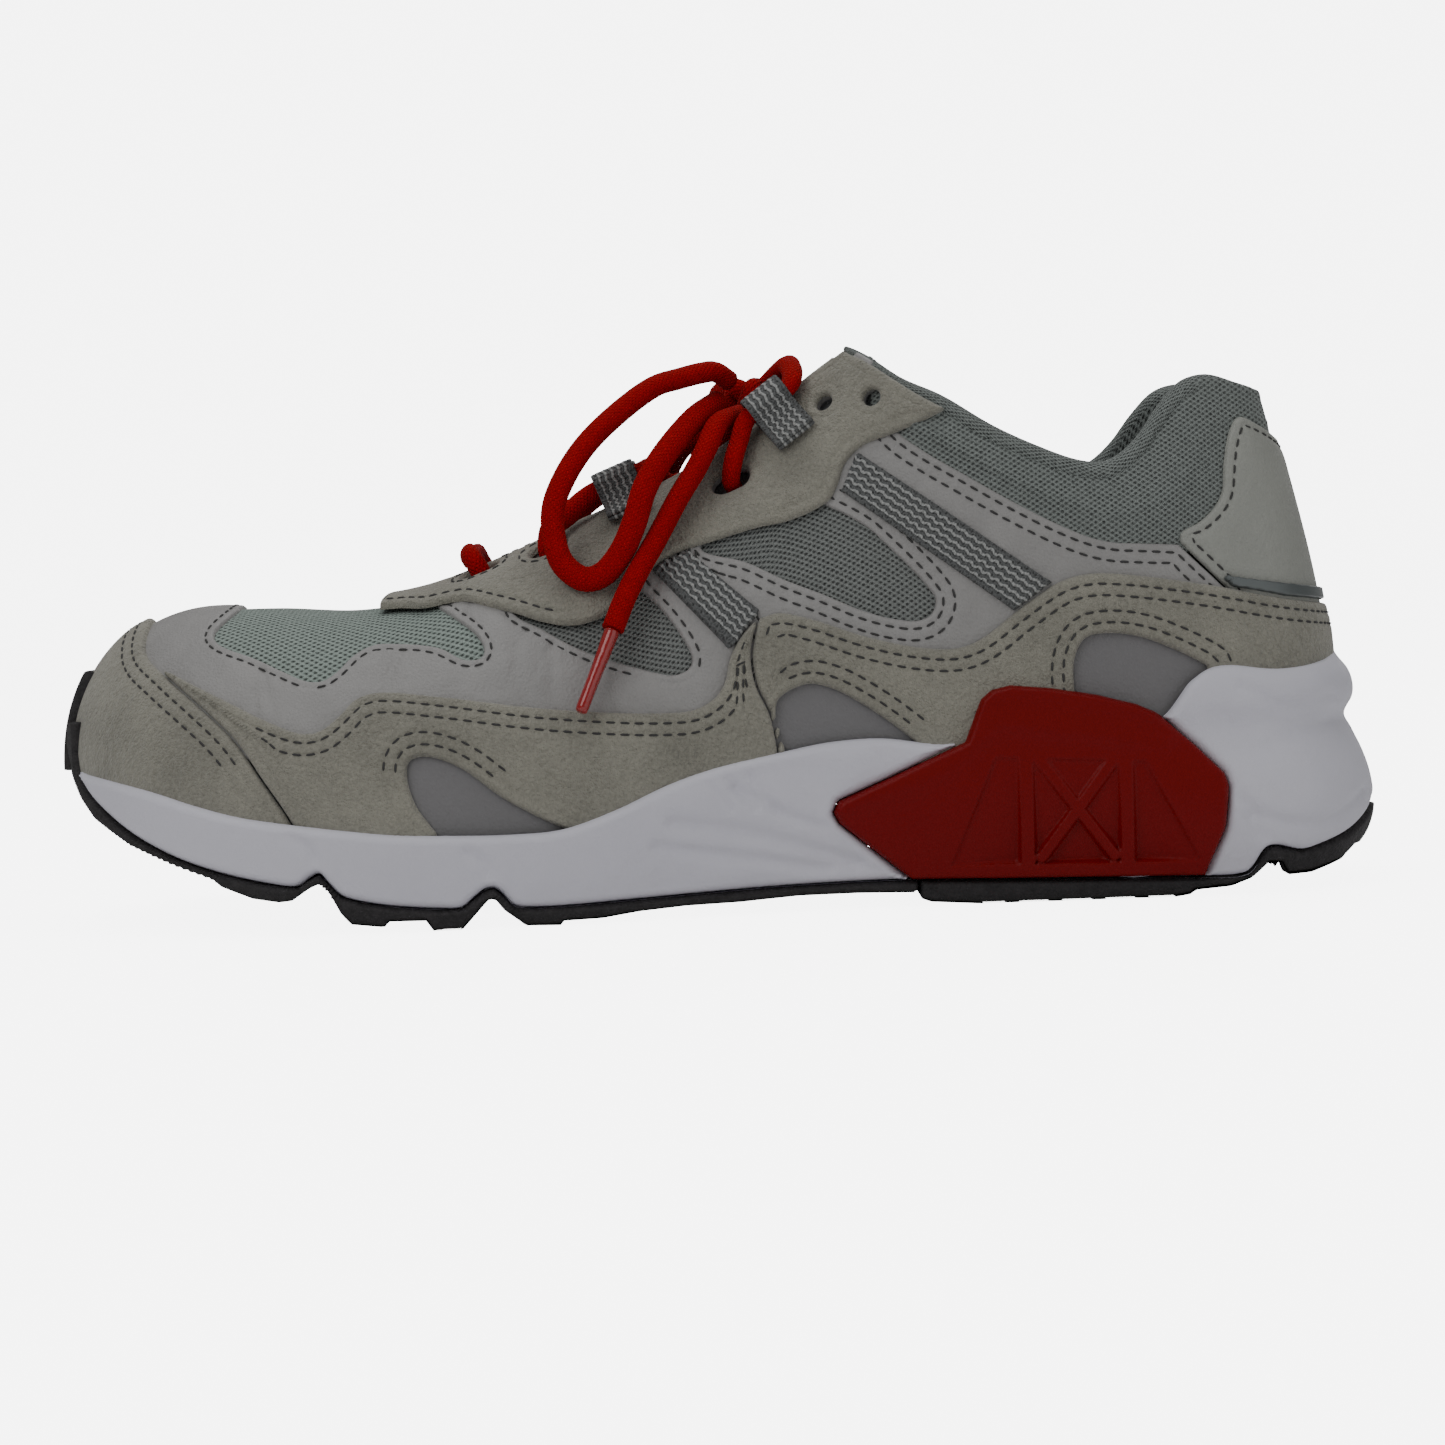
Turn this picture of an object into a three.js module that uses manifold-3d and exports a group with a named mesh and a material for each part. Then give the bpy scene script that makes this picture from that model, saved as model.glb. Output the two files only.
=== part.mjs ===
// A low running-style bowling shoe for the right foot, built in layers over one lasted surface.
// Millimetres, +Z up, toe towards -X, medial side towards -Y, standing on z = 0.
import * as THREE from "three";
import { mergeVertices } from "three/addons/utils/BufferGeometryUtils.js";
import Module from "manifold-3d";

const wasm = await Module();
wasm.setup();

// ---------------------------------------------------------------- driving dimensions
const patternLength = 302; // the outlines below are drawn for this length,
const patternWidth = 112; // this width over the ball
const patternHeight = 125; // and this height at the top of the facing
const shoeLength = 302;
const shoeWidth = 112;
const shoeHeight = 125;

const gap = 0.3; // clearance between pieces that touch
const liningThickness = 1.3;
const textileThickness = 1.1;
const leatherThickness = 1.1;
const suedeThickness = 1.5;
const foamThickness = 4.2;
const counterThickness = 1.4;
const insoleBoardThickness = 2.0;
const socklinerThickness = 4.0;
const bumperThickness = 2.2;
const clipProud = 1.2; // how far the stabiliser clip stands out of the midsole wall
const clipDepth = 1.8; // how deep it sits in the wall
const clipBridgeThickness = 2.2;
const laceRadius = 2.2;
const bowRadius = 2.7; // the free stretches of the lace lie slack and round
const agletRadius = 1.7;
const webbingThickness = 1.1;
const loopWidth = 10;
const tongueCoverThickness = 1.1;
const tongueFoamThickness = 3.2;
const tongueHalfWidth = 20;
const eyeletRadius = 2.0;
const aroundSteps = 36; // facets round the last
const upSteps = 5; // facets from the feather edge to the ridge

const scaleX = shoeLength / patternLength;
const scaleY = shoeWidth / patternWidth;
const scaleZ = shoeHeight / patternHeight;

// ---------------------------------------------------------------- layers over the last
// Each layer is the band between two offsets from the lasted surface.
const liningLayer = [-gap - liningThickness, -gap];
const textileLayer = [0, textileThickness];
const leatherLayer = [textileLayer[1] + gap, textileLayer[1] + gap + leatherThickness];
const suedeLayer = [leatherLayer[1] + gap, leatherLayer[1] + gap + suedeThickness];
const bumperLayer = [suedeLayer[1] + gap, suedeLayer[1] + gap + bumperThickness];
const counterLayer = [-gap - counterThickness, -gap];
const foamLayer = [-gap - foamThickness, -gap];
const insideCounter = counterLayer[0] - gap; // outer face of the heel lining over the counter
const insideFoam = foamLayer[0] - gap; // outer face of the heel lining over the foam
const tongueTop = liningLayer[0] - 2 * laceRadius - 6 * gap; // the laces cross over the tongue
const tongueCoverLayer = [tongueTop - tongueCoverThickness, tongueTop];
const tongueFoamLayer = [tongueCoverLayer[0] - gap - tongueFoamThickness, tongueCoverLayer[0] - gap];
const tongueLiningLayer = [tongueFoamLayer[0] - gap - liningThickness, tongueFoamLayer[0] - gap];

// ---------------------------------------------------------------- the last
// Ribs run from the feather edge up to the ridge or the ankle: foot x, foot y, top x, top y, fullness.
const heelRib = [139, 0, 122, 0, 1.5];
const medialRibs = [
  [135.6, -15, 120.3, -9, 1.5],
  [127.5, -25, 116.5, -14.5, 1.48],
  [112, -31, 108, -18, 1.45],
  [86, -33, 86, -24, 1.45],
  [60, -33, 61, -23.5, 1.5],
  [34, -34, 43, -12, 1.6],
  [10, -36.5, 24, 0, 1.75],
  [-15, -42, 0, 0, 1.85],
  [-40, -47, -25, 0, 2.0],
  [-65, -49.4, -50, 0, 2.15],
  [-88, -48.3, -73, 0, 2.3],
  [-109, -43.2, -90, 0, 2.4],
  [-126, -33.2, -102, 0, 2.35],
  [-138, -19, -110, 0, 2.2],
];
const toeRib = [-144, -3, -113, 0, 2.15];
const lateralRibs = [
  [-138.5, 13, -110, 0, 2.2],
  [-127, 27, -102, 0, 2.35],
  [-109.5, 37.4, -90, 0, 2.4],
  [-87, 45.4, -73, 0, 2.3],
  [-63, 49.2, -50, 0, 2.15],
  [-40, 49.6, -25, 0, 2.0],
  [-15, 46.4, 0, 0, 1.85],
  [10, 43, 24, 0, 1.75],
  [34, 39, 43, 12, 1.6],
  [60, 36, 61, 23.5, 1.5],
  [86, 34, 86, 24, 1.45],
  [112, 31.5, 108, 18, 1.45],
  [127.5, 25.5, 116.5, 14.5, 1.48],
  [135.6, 15.5, 120.3, 9, 1.5],
];
const facingTop = 24; // behind this x the two sides of the top part for the ankle
const ribs = [heelRib, ...medialRibs, toeRib, ...lateralRibs].map(([fx, fy, tx, ty, full]) => [
  fx * scaleX,
  fy * scaleY,
  tx * scaleX,
  ty * scaleY,
  full,
]);

// Height of the feather edge and of the ridge along the shoe: x, z.
const featherLine = [
  [-150, 38],
  [-142, 34],
  [-134, 28.6],
  [-124, 23.2],
  [-112, 18.8],
  [-98, 16.2],
  [-70, 14],
  [-40, 13.5],
  [-20, 16],
  [0, 20],
  [30, 24],
  [70, 28],
  [110, 32],
  [150, 34],
];
const ridgeLine = [
  [-120, 68.5],
  [-100, 68.5],
  [-80, 67.5],
  [-60, 70.5],
  [-42, 77.5],
  [-25, 85.5],
  [0, 98],
  [15, 109],
  [28, 121],
  [45, 132],
  [60, 135],
  [90, 135],
  [125, 135],
];

const mm = ([x, z]) => new THREE.Vector2(x * scaleX, z * scaleZ);

// Cubic through a table of x, z with slopes taken from its neighbours.
function heightAlong(table, x) {
  const points = table.map(mm);
  const last = points.length - 1;
  const slope = (i) => {
    const a = points[Math.max(i - 1, 0)];
    const b = points[Math.min(i + 1, last)];
    return (b.y - a.y) / (b.x - a.x);
  };
  const at = THREE.MathUtils.clamp(x, points[0].x, points[last].x);
  let i = 0;
  while (i < last - 1 && at > points[i + 1].x) i += 1;
  const width = points[i + 1].x - points[i].x;
  const t = (at - points[i].x) / width;
  const t2 = t * t;
  const t3 = t2 * t;
  return (
    (2 * t3 - 3 * t2 + 1) * points[i].y +
    (t3 - 2 * t2 + t) * width * slope(i) +
    (3 * t2 - 2 * t3) * points[i + 1].y +
    (t3 - t2) * width * slope(i + 1)
  );
}

const footHeight = (x) => heightAlong(featherLine, x);

// The rib at a share of the way round, from the heel over the medial side to the toe and back.
function ribAt(around) {
  const u = (((around % 1) + 1) % 1) * ribs.length;
  const i = Math.floor(u);
  const t = u - i;
  const [a, b, c, d] = [-1, 0, 1, 2].map((k) => ribs[(i + k + ribs.length) % ribs.length]);
  const values = b.map(
    (_, k) =>
      0.5 *
      (2 * b[k] +
        (c[k] - a[k]) * t +
        (2 * a[k] - 5 * b[k] + 4 * c[k] - d[k]) * t * t +
        (3 * b[k] - a[k] - 3 * c[k] + d[k]) * t * t * t),
  );
  const ankle = values[2] > facingTop * scaleX;
  values[3] = ankle ? (u < ribs.length / 2 ? Math.min(values[3], 0) : Math.max(values[3], 0)) : 0;
  return values;
}

function lastPoint(around, up) {
  const [fx, fy, tx, ty, full] = ribAt(around);
  const turn = (up * Math.PI) / 2;
  const out = up >= 1 ? 0 : Math.cos(turn) ** (2 / full);
  const rise = Math.sin(turn) ** (2 / full);
  const foot = footHeight(fx);
  const top = heightAlong(ridgeLine, tx);
  return new THREE.Vector3(tx + (fx - tx) * out, ty + (fy - ty) * out, foot + (top - foot) * rise);
}

// Vertex numbers of the last's wall; both sides share their vertices along the ridge.
const mirrorStep = (i) => (aroundSteps - i) % aroundSteps;
const wallPoints = [];
const wallIds = [];
for (let i = 0; i < aroundSteps; i += 1) {
  wallIds.push([]);
  for (let j = 0; j <= upSteps; j += 1) {
    const p = lastPoint(i / aroundSteps, j / upSteps);
    const shared = j === upSteps && i > aroundSteps / 2 && Math.abs(p.y) < 1e-6;
    if (shared) {
      wallIds[i].push(wallIds[mirrorStep(i)][j]);
    } else {
      wallIds[i].push(wallPoints.length);
      wallPoints.push(p);
    }
  }
}
const wallFaces = [];
for (let i = 0; i < aroundSteps; i += 1) {
  const next = (i + 1) % aroundSteps;
  for (let j = 0; j < upSteps; j += 1) {
    const [a, b, c, d] = [wallIds[i][j], wallIds[next][j], wallIds[next][j + 1], wallIds[i][j + 1]];
    wallFaces.push([a, d, b]);
    wallFaces.push([b, d, c]);
  }
}
const wallNormals = wallPoints.map(() => new THREE.Vector3());
for (const [a, b, c] of wallFaces) {
  const face = new THREE.Vector3()
    .subVectors(wallPoints[b], wallPoints[a])
    .cross(new THREE.Vector3().subVectors(wallPoints[c], wallPoints[a]));
  for (const k of [a, b, c]) wallNormals[k].add(face);
}
wallNormals.forEach((n) => n.normalize());

// ---------------------------------------------------------------- solids and cuts
function solidFrom(points, faces) {
  const used = faces.filter(([a, b, c]) => a !== b && b !== c && c !== a);
  return new wasm.Manifold(
    new wasm.Mesh({
      numProp: 3,
      vertProperties: new Float32Array(points.flatMap((p) => [p.x, p.y, p.z])),
      triVerts: new Uint32Array(used.flat()),
    }),
  );
}

function solidOf(geometry) {
  geometry.deleteAttribute("normal");
  geometry.deleteAttribute("uv");
  const merged = mergeVertices(geometry, 1e-4);
  return new wasm.Manifold(
    new wasm.Mesh({
      numProp: 3,
      vertProperties: merged.attributes.position.array,
      triVerts: new Uint32Array(merged.index.array),
    }),
  );
}

// The whole last grown by an offset, with its sole carried down by drop.
function lastSolid(offset, drop = 0) {
  const offsetAt = typeof offset === "function" ? offset : () => offset;
  const points = wallPoints.map((p, k) => p.clone().addScaledVector(wallNormals[k], offsetAt(p)));
  const faces = wallFaces.slice();
  const sole = [];
  for (let i = 0; i < aroundSteps; i += 1) {
    const foot = points[wallIds[i][0]];
    sole.push(points.length);
    const floor = Math.min(foot.z, footHeight(foot.x));
    points.push(new THREE.Vector3(foot.x, foot.y, floor - gap - drop));
  }
  for (let i = 0; i < aroundSteps; i += 1) {
    const next = (i + 1) % aroundSteps;
    faces.push([wallIds[i][0], wallIds[next][0], sole[i]]);
    faces.push([wallIds[next][0], sole[next], sole[i]]);
  }
  const half = aroundSteps / 2;
  for (let i = 0; i < half; i += 1) {
    const [a, b] = [sole[i], sole[i + 1]];
    const [c, d] = [sole[mirrorStep(i)], sole[mirrorStep(i + 1)]];
    faces.push([a, b, c]);
    faces.push([b, d, c]);
    const [e, f] = [wallIds[i][upSteps], wallIds[i + 1][upSteps]];
    const [g, h] = [wallIds[mirrorStep(i)][upSteps], wallIds[mirrorStep(i + 1)][upSteps]];
    faces.push([e, g, f]);
    faces.push([f, g, h]);
  }
  return solidFrom(points, faces);
}

const layerCache = new Map();
function lastLayer([inner, outer]) {
  const key = `${inner}/${outer}`;
  if (!layerCache.has(key)) layerCache.set(key, lastSolid(outer).subtract(lastSolid(inner, 8)));
  return layerCache.get(key);
}

// A closed side-view outline made of runs of x, z points.
const outline = (...runs) => new THREE.Shape(runs.flat().map(mm));

const farSide = 90; // beyond either side of the shoe
// A side-view outline carried across the shoe from one y to another.
function across(shape, from = -farSide, to = farSide) {
  const slab = new THREE.ExtrudeGeometry(shape, { depth: to - from, bevelEnabled: false });
  slab.rotateX(Math.PI / 2);
  slab.translate(0, to, 0);
  return solidOf(slab);
}

// A plan outline, given as x, y, carried up through the whole height.
function upright(points, from = -10, to = 180) {
  const shape = new THREE.Shape(points.map(([x, y]) => new THREE.Vector2(x * scaleX, y * scaleY)));
  const slab = new THREE.ExtrudeGeometry(shape, { depth: to - from, bevelEnabled: false });
  slab.translate(0, 0, from);
  return solidOf(slab);
}

const medialSide = [-farSide, -gap / 2];
const lateralSide = [gap / 2, farSide];
const sides = { medial: medialSide, lateral: lateralSide };

// ---------------------------------------------------------------- openings of the upper
const topline = [
  [30, 126],
  [36, 122.5],
  [44, 116],
  [52, 111.5],
  [63, 104],
  [74, 98.5],
  [82.5, 95.3],
  [88, 94.8],
  [92, 96.5],
  [97, 101],
  [101.5, 107],
  [107, 112.5],
  [113, 114],
  [122, 112],
  [145, 110],
];
const underTopline = across(
  outline([[-180, -5]], [[-180, 145]], [[14, 145]], topline, [[180, 108]], [[180, -5]]),
);
const throatPlan = [
  [-57, 0],
  [-55, -5],
  [-50, -8],
  [-38, -9.5],
  [-15, -10.5],
  [8, -11.5],
  [24, -13],
  [34, -16],
  [60, -18],
  [60, 18],
  [34, 16],
  [24, 13],
  [8, 11.5],
  [-15, 10.5],
  [-38, 9.5],
  [-50, 8],
  [-55, 5],
];
const throat = upright(throatPlan, 55);

// One panel: its layer, cut to its side-view outline and kept out of the throat and above the topline.
function panel(layer, shape, side = [-farSide, farSide], ...cuts) {
  let piece = lastLayer(layer).intersect(across(shape, ...side)).intersect(underTopline).subtract(throat);
  for (const cut of cuts) piece = piece.subtract(cut);
  return piece;
}

// ---------------------------------------------------------------- side-view outlines, x and z
const belowSole = -4;
const mudguardTop = [
  [-120, 56.6],
  [-107, 50.6],
  [-97.5, 46],
  [-90, 43.3],
  [-86, 43.7],
  [-82, 46.6],
  [-78.5, 50],
  [-74, 51.4],
  [-60, 50.2],
  [-40, 47.2],
  [-24, 45.5],
  [-12, 44.8],
  [-4.5, 45.2],
  [0, 47.6],
  [2.4, 51],
  [3.6, 56],
  [6.4, 61],
  [9.8, 64.3],
];
const sideSeam = [
  [9.8, 64.3],
  [8.2, 57],
  [9, 50],
  [12, 43],
  [13.5, 34],
];
const foxingTop = [
  [10.2, 64.5],
  [14.5, 65.6],
  [22, 64],
  [33, 60],
  [44, 57.2],
  [53, 56.4],
  [58.5, 58],
  [68, 64.8],
  [77, 70.4],
  [83, 71.8],
  [90, 71.6],
  [109, 68.7],
  [128, 64.8],
  [150, 62],
];
const toeCapRear = [
  [-129, 72],
  [-128.6, 62],
  [-121.5, 55.8],
  [-113.2, 49.3],
  [-105.3, 42.2],
  [-99, 33.4],
  [-93, 24.5],
  [-90, 18],
];
const frontWindow = outline(
  [
    [-61, 21],
    [-65.2, 27],
    [-67, 33],
    [-66.6, 36.6],
    [-64, 37.6],
    [-59.4, 36.7],
    [-54.5, 34.2],
    [-47, 28.3],
    [-39.2, 23.6],
    [-32, 20],
  ],
  [[-32, belowSole]],
  [[-58, belowSole]],
);
const middleWindow = outline(
  [
    [14.8, 35],
    [13.6, 40],
    [12.9, 43.6],
    [14.2, 47],
    [20.5, 49.8],
    [25.6, 48.7],
    [31, 45.8],
    [37.7, 41.2],
    [44, 36],
  ],
  [[44, belowSole]],
  [[14.8, belowSole]],
);
const rearWindow = outline(
  [
    [79.3, 44],
    [79.4, 53],
    [82, 57.7],
    [87, 58.6],
    [94, 57.6],
    [102.6, 54.1],
    [109, 50.6],
  ],
  [[109, belowSole]],
  [[79.3, belowSole]],
);
const toeMeshEdge = [
  [-108, 80],
  [-108.4, 69.8],
  [-112, 64.8],
  [-110.6, 62.8],
  [-101, 59.1],
  [-94.5, 56.2],
  [-89.5, 54.2],
  [-86, 54.1],
  [-82.9, 56],
  [-79.6, 59.2],
  [-75.4, 61.3],
  [-70, 61.5],
  [-60.2, 60.4],
  [-54.4, 57.7],
  [-50.8, 58.2],
  [-50.5, 60.2],
  [-52.3, 63.1],
  [-57, 66.6],
  [-61.5, 69.3],
  [-62, 80],
];
const eyestayLower = [
  [-75.2, 75],
  [-75.2, 69.8],
  [-70, 70],
  [-64.8, 69.8],
  [-58.7, 70.8],
  [-55, 71],
  [-49.6, 69.6],
  [-43.8, 68],
  [-37.5, 65.8],
  [-32.3, 64.8],
  [-27.3, 65.2],
  [-22.2, 67.4],
  [-14.7, 74.9],
  [-8, 79.6],
  [0, 82],
  [10.7, 84.8],
  [17, 85.9],
  [22.7, 87.9],
  [26.8, 90.4],
  [28.8, 94],
  [30.6, 98.5],
  [34.7, 102.2],
  [40.5, 104.2],
  [46.1, 106.2],
  [52.6, 109],
];
const frontKnitWindow = outline([
  [-44, 68],
  [-37.4, 63.8],
  [-32.4, 60.8],
  [-25.2, 57.4],
  [-18.6, 55.2],
  [-12.9, 53.5],
  [-8.8, 52.8],
  [-5.4, 54.2],
  [-4.8, 56.2],
  [-5.9, 59.2],
  [-8.4, 63.4],
  [-11.5, 67.4],
  [-15.5, 71.6],
  [-20, 78],
  [-40, 76],
  [-44, 68],
]);
const rearKnitWindow = outline([
  [-2, 80.4],
  [2, 86],
  [22, 91],
  [26.7, 88.6],
  [31, 86.3],
  [35.5, 83.3],
  [39.5, 79.2],
  [43.7, 74.8],
  [47.3, 70.6],
  [49.4, 67.2],
  [48.4, 64.2],
  [45.6, 62.8],
  [40, 63.4],
  [33.1, 65.5],
  [24.8, 69.3],
  [16.4, 72.8],
  [8, 77],
  [-2, 80.4],
]);
const collarSeam = [
  [38, 112],
  [42.7, 104.8],
  [48.7, 100],
  [56.6, 95],
  [67.7, 88.2],
  [78.7, 82.3],
  [86, 79.4],
  [93, 78.4],
  [100.7, 79.4],
];
const collarSeamRear = [
  [104, 80.4],
  [108.6, 82.4],
  [112.4, 85.6],
  [114.4, 89],
  [115.2, 95.4],
  [116.8, 102],
  [119.3, 105.6],
  [124, 103.8],
  [131, 100.6],
  [150, 99],
];
const underlayTop = [
  [-75, 43.5],
  [-60, 44],
  [-40, 40.5],
  [-12, 38.5],
  [3, 41.5],
  [12, 52.5],
  [25, 54.5],
  [45, 50],
  [60, 51],
  [78, 62.5],
  [92, 64],
  [113, 60],
];
const strapSeam = [
  [-9, 84],
  [-3, 71],
  [7, 61],
  [5, 50],
  [3.5, 42.4],
];

// ---------------------------------------------------------------- the sole
// The sole's wall stands out from the feather edge by an amount that changes with height: z, offset.
const frontWall = [
  [-4, 4],
  [10, 6.2],
  [24, 6.8],
  [37, 5.8],
  [45, 5.4],
  [60, 5],
];
const heelWall = [
  [-4, 2],
  [10, 7.4],
  [24, 12],
  [37, 5.8],
  [45, 8],
  [60, 2.5],
];
const heelFlareStarts = 84;
const heelFlareFull = 132;

function wallOffset(level, x) {
  const flare = THREE.MathUtils.smoothstep(x, heelFlareStarts * scaleX, heelFlareFull * scaleX);
  return THREE.MathUtils.lerp(frontWall[level][1], heelWall[level][1], flare);
}

function soleBlock(grow) {
  const points = [];
  const faces = [];
  const id = (level, i) => level * aroundSteps + (i % aroundSteps);
  frontWall.forEach(([z], level) => {
    for (let i = 0; i < aroundSteps; i += 1) {
      const foot = (k) => {
        const [fx, fy] = ribAt((k + aroundSteps) / aroundSteps);
        return new THREE.Vector2(fx, fy);
      };
      const along = foot(i + 0.2).sub(foot(i - 0.2)).normalize();
      const inward = new THREE.Vector2(along.y, -along.x);
      const at = foot(i).addScaledVector(inward, -(wallOffset(level, foot(i).x) + grow));
      points.push(new THREE.Vector3(at.x, at.y, z * scaleZ));
    }
  });
  for (let level = 0; level < frontWall.length - 1; level += 1) {
    for (let i = 0; i < aroundSteps; i += 1) {
      const [a, b, c, d] = [id(level, i), id(level, i + 1), id(level + 1, i + 1), id(level + 1, i)];
      faces.push([a, d, b]);
      faces.push([b, d, c]);
    }
  }
  const top = frontWall.length - 1;
  for (let i = 0; i < aroundSteps / 2; i += 1) {
    const [a, b, c, d] = [i, i + 1, mirrorStep(i), mirrorStep(i + 1)];
    faces.push([a, b, c]);
    faces.push([b, d, c]);
    faces.push([id(top, a), id(top, c), id(top, b)]);
    faces.push([id(top, b), id(top, c), id(top, d)]);
  }
  return solidFrom(points, faces);
}

const midsoleBottom = [
  [-145, 34.4],
  [-142, 30.4],
  [-136.5, 26.1],
  [-129, 21.3],
  [-119, 16.7],
  [-109.6, 13.7],
  [-99, 11.3],
  [-91.5, 10.4],
  [-88.8, 12.2],
  [-86.7, 13.2],
  [-84.8, 11],
  [-82, 8.1],
  [-77.7, 6.7],
  [-71, 5.5],
  [-61.4, 4.6],
  [-56, 4.6],
  [-53, 6.9],
  [-50.8, 8.5],
  [-48.9, 8.7],
  [-47.2, 7.3],
  [-45.2, 4.8],
  [-43, 4.1],
  [-34, 3.9],
  [-20, 4.4],
  [-3.5, 5],
  [17, 5.6],
  [41.7, 5.8],
  [70, 5],
  [101, 4.2],
  [115.9, 4.2],
  [118, 5.9],
  [120.6, 9.8],
  [123, 10.1],
  [128.8, 8.6],
  [133.7, 9.6],
  [141.2, 12.2],
  [146.7, 15.6],
  [149, 17.8],
];
const midsoleTop = [
  [-144.9, 35.1],
  [-135.6, 33.6],
  [-125, 31.4],
  [-115, 28.5],
  [-104.4, 25.8],
  [-93.4, 24],
  [-81.5, 22.4],
  [-69.6, 21],
  [-58, 20.4],
  [-44.6, 20.1],
  [-33.5, 20.7],
  [-22, 24.4],
  [-10.5, 29.4],
  [0, 32.6],
  [14.5, 35.3],
  [25, 37],
  [36.3, 37.4],
  [47.5, 35.9],
  [60, 35.4],
  [76, 35.6],
  [90, 36.4],
  [98.5, 39.6],
  [102, 44],
  [104.7, 47.7],
  [108.4, 50.4],
  [113, 51.4],
  [125, 50.2],
  [136.5, 51.3],
  [142, 53.4],
  [156, 53.8],
];
const reversed = (points) => points.slice().reverse();
const midsoleProfile = outline(midsoleBottom, [[156, 22]], reversed(midsoleTop));

const outsoleSplit = 43.5; // where the forefoot rubber ends and the heel rubber begins
const treadForefoot = [
  [-146.8, 34],
  [-143.8, 29.2],
  [-139.5, 24.6],
  [-130, 19.3],
  [-119, 15.2],
  [-110.5, 12.3],
];
const outsoleForefootProfile = outline(
  [
    [-152, 46],
    [-148.4, 39.1],
    [-147.2, 36],
  ],
  treadForefoot,
  [[-108.6, 10.6]],
  [
    [-101.6, 8],
    [-95.7, 7.1],
    [-92.8, 7.4],
    [-88.9, 10],
    [-86.6, 11],
    [-84.9, 9.6],
    [-82.2, 4.4],
  ],
  [[-80, 2]],
  [[-72.8, 1.2]],
  [[-72, 2.4]],
  [[-63.7, 2.3]],
  [[-62.5, 0]],
  [[-56.2, 0]],
  [
    [-53, 3.4],
    [-50.4, 6.2],
    [-49, 6.4],
    [-47, 3.8],
    [-43.6, 1.2],
  ],
  [[-42.6, 0.3]],
  [[-35, 0]],
  [[-34.3, 0.9]],
  [
    [-26, 1],
    [-18, 2],
    [-8, 2.6],
    [4, 2.7],
    [17, 3.4],
    [30, 3.4],
    [43.3, 3],
  ],
  [[43.3, 5.8 - gap]],
  [[17, 5.6 - gap]],
  reversed(midsoleBottom.filter(([x]) => x < outsoleSplit - 10)).map(([x, z]) => [x, z - gap]),
  [[-146, 39]],
  [[-146, 46]],
);
const outsoleHeelProfile = outline(
  [[43.8, 1.7]],
  [[46, 0.8]],
  [[57, 0]],
  [[100, 0]],
  [[103.4, 0.5]],
  [[104.4, 1.4]],
  [
    [112.4, 2],
    [117, 3.6],
    [119, 5.2],
    [121, 6.9],
    [124, 6.6],
  ],
  [[125.4, 3.8]],
  [[131, 3.9]],
  [[139.5, 6]],
  [[142.6, 8.4]],
  [[144.4, 8.6]],
  [[147, 11]],
  [[149.6, 14.6]],
  [[150.6, 17]],
  reversed(midsoleBottom.filter(([x]) => x > outsoleSplit)).map(([x, z]) => [x, z - gap]),
  [[43.8, 5.8 - gap]],
);
const clipOutlinePoints = [
  [26.4, 23.8],
  [25.4, 21.4],
  [26.6, 19],
  [41.7, 6.1],
  [61.3, 5.5],
  [106.5, 4.6],
  [111, 15.4],
  [112, 24.4],
  [111.2, 27.2],
  [105, 33.6],
  [98.2, 39.6],
  [96.5, 40.8],
  [92.6, 42.7],
  [84.3, 45],
  [73.6, 47],
  [64.8, 47.9],
  [60.8, 47],
  [58.4, 45],
  [54.7, 35.8],
  [50.3, 34],
  [38.9, 29],
];

// The polygon pushed outwards by a distance; it is drawn anticlockwise.
function grown(points, by) {
  const count = points.length;
  return points.map(([x, z], k) => {
    const [ax, az] = points[(k + count - 1) % count];
    const [bx, bz] = points[(k + 1) % count];
    const length = Math.hypot(bx - ax, bz - az);
    return [x + ((bz - az) / length) * by, z - ((bx - ax) / length) * by];
  });
}
const clipBridge = { from: 62, to: 98, bottom: 8, halfWidth: 60 };

function bridgeBlock(extra) {
  const { from, to, bottom } = clipBridge;
  const points = [
    [from - extra, bottom - extra / scaleZ],
    [to + extra, bottom - extra / scaleZ],
    [to + extra, bottom + (clipBridgeThickness + extra) / scaleZ],
    [from - extra, bottom + (clipBridgeThickness + extra) / scaleZ],
  ];
  return across(new THREE.Shape(points.map(mm)));
}

const upperSeat = lastSolid(suedeLayer[1] + gap, gap); // what the sole and the clip are hollowed by
const wall = soleBlock(0);
const bumperPlan = [
  [-170, -19],
  [-120, -14],
  [-120, 8],
  [-170, 13],
];
const bumperTop = outline([[-170, 24]], [[-120, 24]], [[-136, 57]], [[-170, 57]]);
const bumperBand = lastSolid(bumperLayer[1]).subtract(lastSolid(bumperLayer[0], 14));
const bumperPocket = lastSolid(bumperLayer[1] + gap, 2).subtract(lastSolid(suedeLayer[0], 20));
const bumper = bumperBand.intersect(upright(bumperPlan)).intersect(across(bumperTop));
const bumperRoom = bumperPocket.intersect(upright(grown(reversed(bumperPlan), -1)));

const clipShape = new THREE.Shape(clipOutlinePoints.map(mm));
const clipRoomShape = new THREE.Shape(grown(clipOutlinePoints, gap).map(mm));
const clipRoom = soleBlock(clipProud + 6)
  .subtract(soleBlock(-clipDepth - gap))
  .intersect(across(clipRoomShape))
  .add(soleBlock(clipProud + 6).intersect(bridgeBlock(gap)));

function makeMidsole() {
  return wall.intersect(across(midsoleProfile)).subtract(upperSeat).subtract(clipRoom).subtract(bumperRoom);
}

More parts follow.
